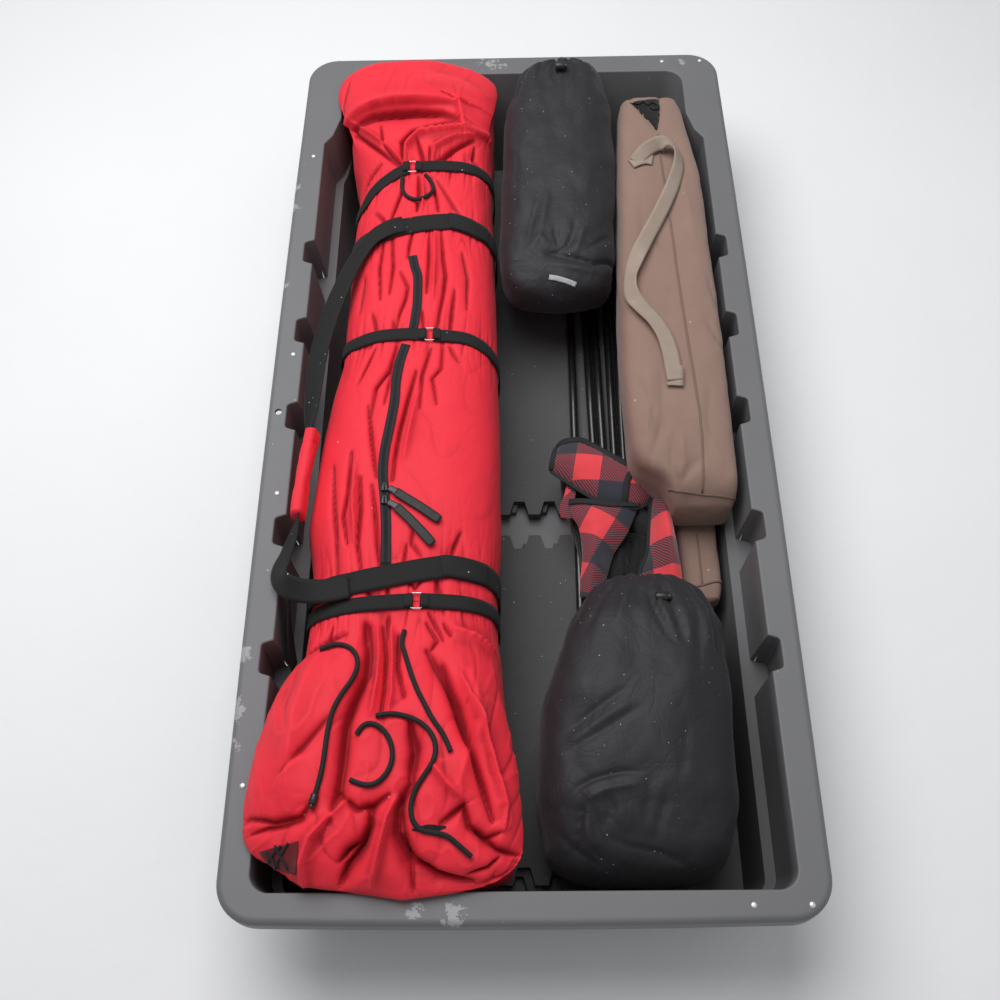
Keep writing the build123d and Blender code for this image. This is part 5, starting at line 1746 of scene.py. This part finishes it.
class SLED_OT_chair(bpy.types.Operator):
    """Make the folded chair: its tubes' paint, dark lining and check cloth"""

    bl_idname = "sled.chair"
    bl_label = "Folded chair"

    LINING_FOLDS = (
        (-16, 10, 12, ((190, -150), (196, -220), (186, -320))),
        (-12, 8, 10, ((140, -60), (150, -120), (160, -180))),
        (7, 8, 8, ((168, -190), (176, -260), (174, -325))),
        (-9, 8, 8, ((214, -200), (208, -260), (200, -320))),
    )
    # Each sheet's places, the middle of a red square on it, the check's turn and its handedness
    SHEETS = (
        ("chair_flap", CHECK_FLAP, (122, -101), -10, 1),
        ("chair_panel", CHECK_PANEL, (134, -205), -31, -1),
        ("chair_side_fold", CHECK_CONE, (244, -222), 3, 1),
        ("chair_back_fold", CHECK_SIDE, (60, -130), 40, 1),
    )

    def execute(self, context):
        repaint("chair_tube", "tube_paint")
        places, full = stuffed(SEAT_SECTIONS, 70, 64, 3.4, 10.0)
        x, y, z = np.moveaxis(places, 2, 0)
        rough = wrinkle(x / 24, y / 50 + z / 30, 7.3) * 3.0 - 2.0
        heights = (fold_heights(x, y, self.LINING_FOLDS) + rough) * full[:, None]
        places = places + facing_out(places) * heights[:, :, None]
        places[:, :, 2] = np.maximum(places[:, :, 2], CHAIR_SEAT)
        closed_shell("chair_lining", places, 0.5, 0.3, "chair_lining", ("chair_seat_cloth",))
        cloths = []
        for name, net, *check in self.SHEETS:
            places = (net_surface(net, 8) + [0, 0, RIM]) / 1000
            made, flat, area = self.sheet(name, places, *check)
            min(area, flat[0] * flat[1])
            cloths.append(places)
        self.bindings(*cloths[:3])
        return {"FINISHED"}

    def sheet(self, name, places, middle, turn, side):
        """A thin sheet through places in metres, its flat size and area, laid round a red check."""
        flat = tuple(
            float(np.linalg.norm(np.diff(places, axis=axis), axis=2).sum(axis=axis).max())
            for axis in (1, 0)
        )
        bm = cloth_grid(places, 1.0, 1.0)
        layer = bm.loops.layers.uv["UVMap"]
        cos, sin = math.cos(math.radians(turn)), math.sin(math.radians(turn))
        quarter = sizes().check_pitch / 4
        for vert in bm.verts:
            u = vert.co.x - middle[0] / 1000
            v = vert.co.y - middle[1] / 1000
            for loop in vert.link_loops:
                loop[layer].uv = (quarter + u * cos + v * sin, quarter + side * (v * cos - u * sin))
        area = sum(face.calc_area() for face in bm.faces)
        thickened(bm, 0.0014)
        return piece(bm, name, "check_cloth"), flat, area

    def bindings(self, flap, panel, cone):
        """Dark binding tape folded over the cloth's edges, and across the flap."""
        columns = np.arange(flap.shape[1])
        across = zip(np.linspace(37, 33, len(flap)), flap)
        cross = [[np.interp(place, columns, row[:, k]) for k in range(3)] for place, row in across]
        for name, line, width, lift in (
            ("flap_far", flap[0], 0.0105, 0.0012), ("flap_left", flap[:, 0], 0.0105, 0.0012),
            ("flap_near", flap[-1], 0.0105, 0.0012), ("flap_cross", cross, 0.0105, 0.0018),
            ("panel_far", panel[0], 0.0105, 0.0012), ("cone", cone[:, 0], 0.0085, 0.0012),
        ):
            centre = np.array(line) + [0, 0, lift]
            webbing(f"binding_{name}", centre, upright(centre), width, 0.0012, "binding")


# ---- Canvas bags

# y, left, right, bottom and top of each bag's section, heights above the rim
CANVAS_SECTIONS = (
    (-213, 262, 352, -96, -40), (-200, 254, 362, -106, -12), (-180, 246, 366, -109, 10),
    (-162, 236, 366, -109, 16), (-150, 208, 366, -109, 18), (-118, 190, 366, -109, 22),
    (30, 185, 367, -109, 30), (207, 187, 367, -109, 32), (500, 200, 362, -109, 32),
    (606, 207, 352, -109, 28), (700, 214, 342, -109, 16), (729, 220, 334, -106, 10),
)
LOWER_CANVAS_SECTIONS = (
    (-338, 282, 336, -150, -122), (-316, 273, 345, -196, -113), (-100, 270, 345, -199, -111),
    (300, 266, 342, -199, -111), (540, 263, 339, -199, -111), (558, 268, 334, -190, -116),
)
CANVAS_FOLDS = (
    (-7, 10, 12, ((263, -96), (254, -150), (262, -186))),
    (6, 12, 10, ((275, -100), (272, -150), (266, -186))),
    (-8, 9, 12, ((304, -140), (280, -166), (264, -186))),
    (-7, 12, 14, ((252, -60), (232, -110), (216, -150))),
    (-5, 14, 12, ((250, 40), (247, -47), (234, -96))),
    (5, 14, 14, ((228, 20), (224, -40), (216, -90))),
    (-7, 10, 10, ((336, 140), (356, 100), (372, 76))),
    (-5, 10, 10, ((350, 250), (358, 200), (368, 160))),
    (-5, 12, 12, ((204, 20), (222, -30), (234, -64))),
    (-9, 7, 7, ((238, 720), (262, 664), (284, 610))),
    (-9, 7, 7, ((297, 722), (294, 674), (284, 612))),
    (4, 20, 20, ((320, 520), (326, 420), (330, 330))),
    (-3, 18, 18, ((240, 420), (236, 330), (232, 250))),
    (-4, 14, 16, ((330, 0), (322, -70), (318, -130))),
    (4, 16, 14, ((300, -40), (318, -100), (336, -150))),
    (-4, 12, 12, ((256, 330), (270, 300), (292, 270))),
)
# The handle: place, then the way its broad side faces
TAN_HANDLE = (
    ((236, 520, 32), (0.1, 0.2, 1.0)), ((246, 534, 36), (0.0, -0.3, 0.9)),
    ((262, 548, 40), (0.1, -0.5, 0.7)), ((282, 556, 44), (0.3, -0.5, 0.7)),
    ((302, 550, 46), (0.7, -0.1, 0.7)), ((314, 530, 46), (0.8, 0.1, 0.6)),
    ((314, 500, 44), (0.7, 0.1, 0.7)), ((304, 462, 42), (0.6, 0.1, 0.8)),
    ((286, 415, 42), (0.5, 0.0, 0.9)), ((264, 365, 42), (0.45, -0.1, 0.9)),
    ((240, 315, 42), (0.3, -0.2, 0.95)), ((220, 270, 41), (-0.2, -0.2, 0.95)),
    ((207, 228, 38), (-0.6, -0.1, 0.75)), ((207, 190, 38), (-0.5, 0.0, 0.85)),
    ((222, 158, 40), (-0.1, 0.15, 1.0)), ((243, 128, 40), (0.1, 0.1, 1.0)),
    ((258, 96, 38), (0.1, 0.0, 1.0)), ((265, 62, 36), (0.0, 0.0, 1.0)),
    ((268, 30, 34.5), (0.0, 0.0, 1.0)), ((270, 4, 34), (0.0, 0.0, 1.0)),
)
# The V opening at the canvas bag's far end: its left and right edges, and the cord in it
CANVAS_OPENING = (
    ((236, 708), (250, 686), (263, 662), (274, 640), (282, 618)),
    ((297, 716), (296, 692), (294, 668), (290, 644), (285, 618)),
)
CANVAS_CORD = (
    (246, 706), (256, 698), (264, 704), (272, 692), (281, 700), (290, 690), (284, 676), (276, 682),
)
# Folded, stitched seams that stand a little proud of the cloth, in plan
CANVAS_SEAMS = (
    (
        "canvas_top_seam", "canvas_bag_upper_cloth",
        (
            (284, 600), (284, 534), (289, 393), (294, 223), (299, 95), (305, -19),
            (307, -98), (303, -194),
        ),
    ),
    (
        "canvas_cap_seam", "canvas_bag_upper_cloth",
        ((250, -182), (266, -190), (300, -195), (330, -197), (352, -198), (362, -194)),
    ),
    (
        "lower_cap_seam", "canvas_bag_lower_cloth",
        ((276, -314), (300, -312), (322, -306), (342, -302)),
    ),
    ("lower_top_seam", "canvas_bag_lower_cloth", ((306, -216), (307, -260), (307, -310))),
)
# Where the handle is sewn on: a line in plan and the lift over the bag in millimetres
HANDLE_PATCHES = (
    ("handle_patch_far", ((226, 516), (240, 522), (254, 526), (268, 524)), 3.0),
    ("handle_patch_near", ((271, 32), (271, 18), (270, 4), (269, -6)), 5.4),
)


class SLED_OT_canvas_bags(bpy.types.Operator):
    """Make the two canvas bags, their seams and the twisted handle"""

    bl_idname = "sled.canvas_bags"
    bl_label = "Canvas bags"

    def execute(self, context):
        width = sizes().tan_width
        upper = "canvas_bag_upper_cloth"
        self.bag("canvas_bag_upper", CANVAS_SECTIONS, CANVAS_FOLDS, UPPER_CANVAS_SEAT)
        self.bag("canvas_bag_lower", LOWER_CANVAS_SECTIONS, (), LOWER_CANVAS_SEAT)
        for name, cloth, line in CANVAS_SEAMS:
            on_cloth = [
                place for place in through(line, 14) if below(cloth, *(place / 1000))[0] is not None
            ]
            webbing(name, *laid_over(cloth, on_cloth, 0.6), 0.0026, 0.0013, "seam_cloth")
        # Painted shade: a near-black patch stands for the shade inside the V opening.
        cloth_patch("canvas_opening_shade", upper, CANVAS_OPENING, "chair_lining", "brown_canvas")
        webbing(
            "canvas_opening_cord", *laid_over(upper, CANVAS_CORD, 2.6, steps=5), 0.0042, 0.002,
            "black_cord", cells=2, slot="black_webbing",
        )
        webbing(
            "canvas_handle_webbing", *posed(TAN_HANDLE), width, 0.0022, "tan_webbing",
            ("canvas_bag_handle",), cells=6,
        )
        for name, line, lift in HANDLE_PATCHES:
            patch = laid_over(upper, line, lift, steps=5, upright=True)
            webbing(name, *patch, width, 0.0018, "tan_webbing")
        return {"FINISHED"}

    def bag(self, solid, sections, folds, lowest):
        """A stiff canvas bag with its dents and small wrinkles."""
        places, full = stuffed(sections, 170, 96, 5.0, 7.0)
        normals = facing_out(places)
        x, y, z = np.moveaxis(places, 2, 0)
        heights = fold_heights(x, y, folds) * ease(0.0, 0.4, normals[:, :, 2])
        heights += wrinkle(x / 70, y / 160 + z / 90, 3.3) * 2.6
        heights += wrinkle(x / 30, y / 55 + z / 30, 9.2) * 1.1 - 1.2
        places = places + normals * (heights * full[:, None])[:, :, None]
        places[:, :, 2] = np.maximum(places[:, :, 2], lowest)
        places[:, :, 0] = np.minimum(places[:, :, 0], CANVAS_RIGHT)
        closed_shell(solid + "_cloth", places, 0.6, 1.0, "canvas", (solid,))


# ---- Tub, rivets and floor tiles


def repaint(start, look):
    """Give a finish to the CAD's pieces whose names start so."""
    for name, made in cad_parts.items():
        if name.startswith(start):
            made.data.materials.clear()
            made.data.materials.append(finishes[look])


class SLED_OT_tub(bpy.types.Operator):
    """Finish the moulded tub and its floor tiles, and set its rivets"""

    bl_idname = "sled.tub"
    bl_label = "Tub and floor"

    # A rivet in metres: its domed head and the stem under it
    HEAD_RADIUS = 0.0046
    HEAD_FLATNESS = 0.45
    STEM_RADIUS = 0.0033
    STEM_DEPTH = 0.006
    # Heads in the rim: x and y in millimetres
    RIVETS = (
        (-398, 583), (-396, 95), (-398, -189), (-402, -674), (313, -842.5), (392, -842.5),
        (313, 842.5), (392, 842.5),
    )

    def execute(self, context):
        repaint("sled_tub", "tub_plastic")
        repaint("foam_tile", "floor_foam")
        for index, (x, y) in enumerate(self.RIVETS, start=1):
            bm = bmesh.new()
            dome = bmesh.ops.create_uvsphere(
                bm, u_segments=20, v_segments=10, radius=self.HEAD_RADIUS,
            )["verts"]
            for vert in dome:
                vert.co.z = max(vert.co.z, 0.0) * self.HEAD_FLATNESS
            stem = bmesh.ops.create_cone(
                bm, cap_ends=True, segments=20, radius1=self.STEM_RADIUS,
                radius2=self.STEM_RADIUS, depth=self.STEM_DEPTH,
            )["verts"]
            bmesh.ops.translate(bm, vec=(0, 0, -self.STEM_DEPTH / 2), verts=stem)
            bmesh.ops.remove_doubles(bm, verts=bm.verts, dist=SAME_PLACE)
            bmesh.ops.translate(bm, vec=(x / 1000, y / 1000, RIM / 1000 + 0.0001), verts=bm.verts)
            piece(bm, f"rim_rivet_{index}", "rivet_metal")
        return {"FINISHED"}


class SLED_OT_stage(bpy.types.Operator):
    """Set the pale floor, the soft lights and the camera"""

    bl_idname = "sled.stage"
    bl_label = "Floor, lights and camera"

    # Soft lights: place in metres, width in metres and power in watts
    LIGHTS = (
        ("soft_top", (-0.6, 0.75, 2.9), 2.8, 82.0), ("soft_fill", (1.7, -1.1, 2.3), 2.4, 4.0),
    )
    WORLD_COLOUR = (0.98, 0.99, 1.0, 1.0)
    WORLD_STRENGTH = 0.30
    FLOOR_REACH = 9.0
    # The photograph's camera: sensor and lens in millimetres, place in metres, right, up and back
    SENSOR_WIDTH = 36.0
    LENS = 40.32
    CAMERA_PLACE = (-0.0026, -1.1071, 1.843)
    CAMERA_AXES = (
        (0.999818, -0.003344, -0.018802), (0.012132, 0.871569, 0.490110),
        (0.014749, -0.490248, 0.871450),
    )

    def execute(self, context):
        scene = context.scene
        scene.view_settings.view_transform = "Standard"
        self.floor(scene)
        world = bpy.data.worlds.new("Studio")
        scene.world = world
        world.use_nodes = True
        back = world.node_tree.nodes["Background"]
        back.inputs["Color"].default_value = self.WORLD_COLOUR
        back.inputs["Strength"].default_value = self.WORLD_STRENGTH
        for name, place, width, power in self.LIGHTS:
            light = bpy.data.lights.new(name, "AREA")
            light.shape = "DISK"
            light.size = width
            light.energy = power
            lamp = bpy.data.objects.new(name, light)
            scene.collection.objects.link(lamp)
            lamp.location = place
            aim = Vector(place) - Vector((0, 0, 0.2))
            lamp.rotation_euler = aim.to_track_quat("Z", "Y").to_euler()
        self.camera(scene)
        return {"FINISHED"}

    def floor(self, scene):
        """A wide pale floor, a little uneven."""
        bm = bmesh.new()
        bmesh.ops.create_grid(bm, x_segments=1, y_segments=1, size=self.FLOOR_REACH)
        mesh = bpy.data.meshes.new("floor")
        bm.to_mesh(mesh)
        bm.free()
        ground = bpy.data.objects.new("floor", mesh)
        scene.collection.objects.link(ground)
        made = Finish("floor", scene.sled_colours.snow, 0.85)
        uneven = made.uneven(2.2)
        made.link(made.toned(uneven, 0.03), "Base Color")
        made.bumps((uneven, 0.02, 0.25), (made.uneven(14.0), 0.006, 0.25))
        mesh.materials.append(finishes["floor"])

    def camera(self, scene):
        """The camera that was solved from the photograph."""
        view = bpy.data.cameras.new("Camera")
        view.sensor_width = self.SENSOR_WIDTH
        view.lens = self.LENS
        camera = bpy.data.objects.new("Camera", view)
        scene.collection.objects.link(camera)
        turn = Matrix(self.CAMERA_AXES).transposed().to_4x4()
        camera.matrix_world = Matrix.Translation(self.CAMERA_PLACE) @ turn
        scene.camera = camera


# ---- Panel and start


class SLED_PT_sidebar(bpy.types.Panel):
    """The sled's pieces and sizes in the 3D view's sidebar"""

    bl_label = "Packed sled"
    bl_idname = "SLED_PT_sidebar"
    bl_space_type = "VIEW_3D"
    bl_region_type = "UI"
    bl_category = "Packed sled"

    def draw(self, context):
        layout = self.layout
        for group in (context.scene.sled_colours, context.scene.sled_sizes):
            box = layout.box()
            for name in group.bl_rna.properties.keys():
                if name not in ("rna_type", "name"):
                    box.prop(group, name)
        for operator in OPERATORS:
            layout.operator(operator.bl_idname)


# In the order of their running: later pieces lie on earlier ones
OPERATORS = (
    SLED_OT_finishes, SLED_OT_stage, SLED_OT_tub, SLED_OT_hut_bag, SLED_OT_cords, SLED_OT_straps,
    SLED_OT_carry_bands, SLED_OT_zip, SLED_OT_stuff_sacks, SLED_OT_chair, SLED_OT_canvas_bags,
)
CLASSES = (SledColours, SledSizes, *OPERATORS, SLED_PT_sidebar)


def register():
    for made in CLASSES:
        bpy.utils.register_class(made)
    bpy.types.Scene.sled_colours = bpy.props.PointerProperty(type=SledColours)
    bpy.types.Scene.sled_sizes = bpy.props.PointerProperty(type=SledSizes)


def unregister():
    del bpy.types.Scene.sled_sizes
    del bpy.types.Scene.sled_colours
    for made in reversed(CLASSES):
        bpy.utils.unregister_class(made)


def main():
    register()
    for operator in OPERATORS:
        group, name = operator.bl_idname.split(".")
        getattr(getattr(bpy.ops, group), name)()


if __name__ == "__main__":
    main()
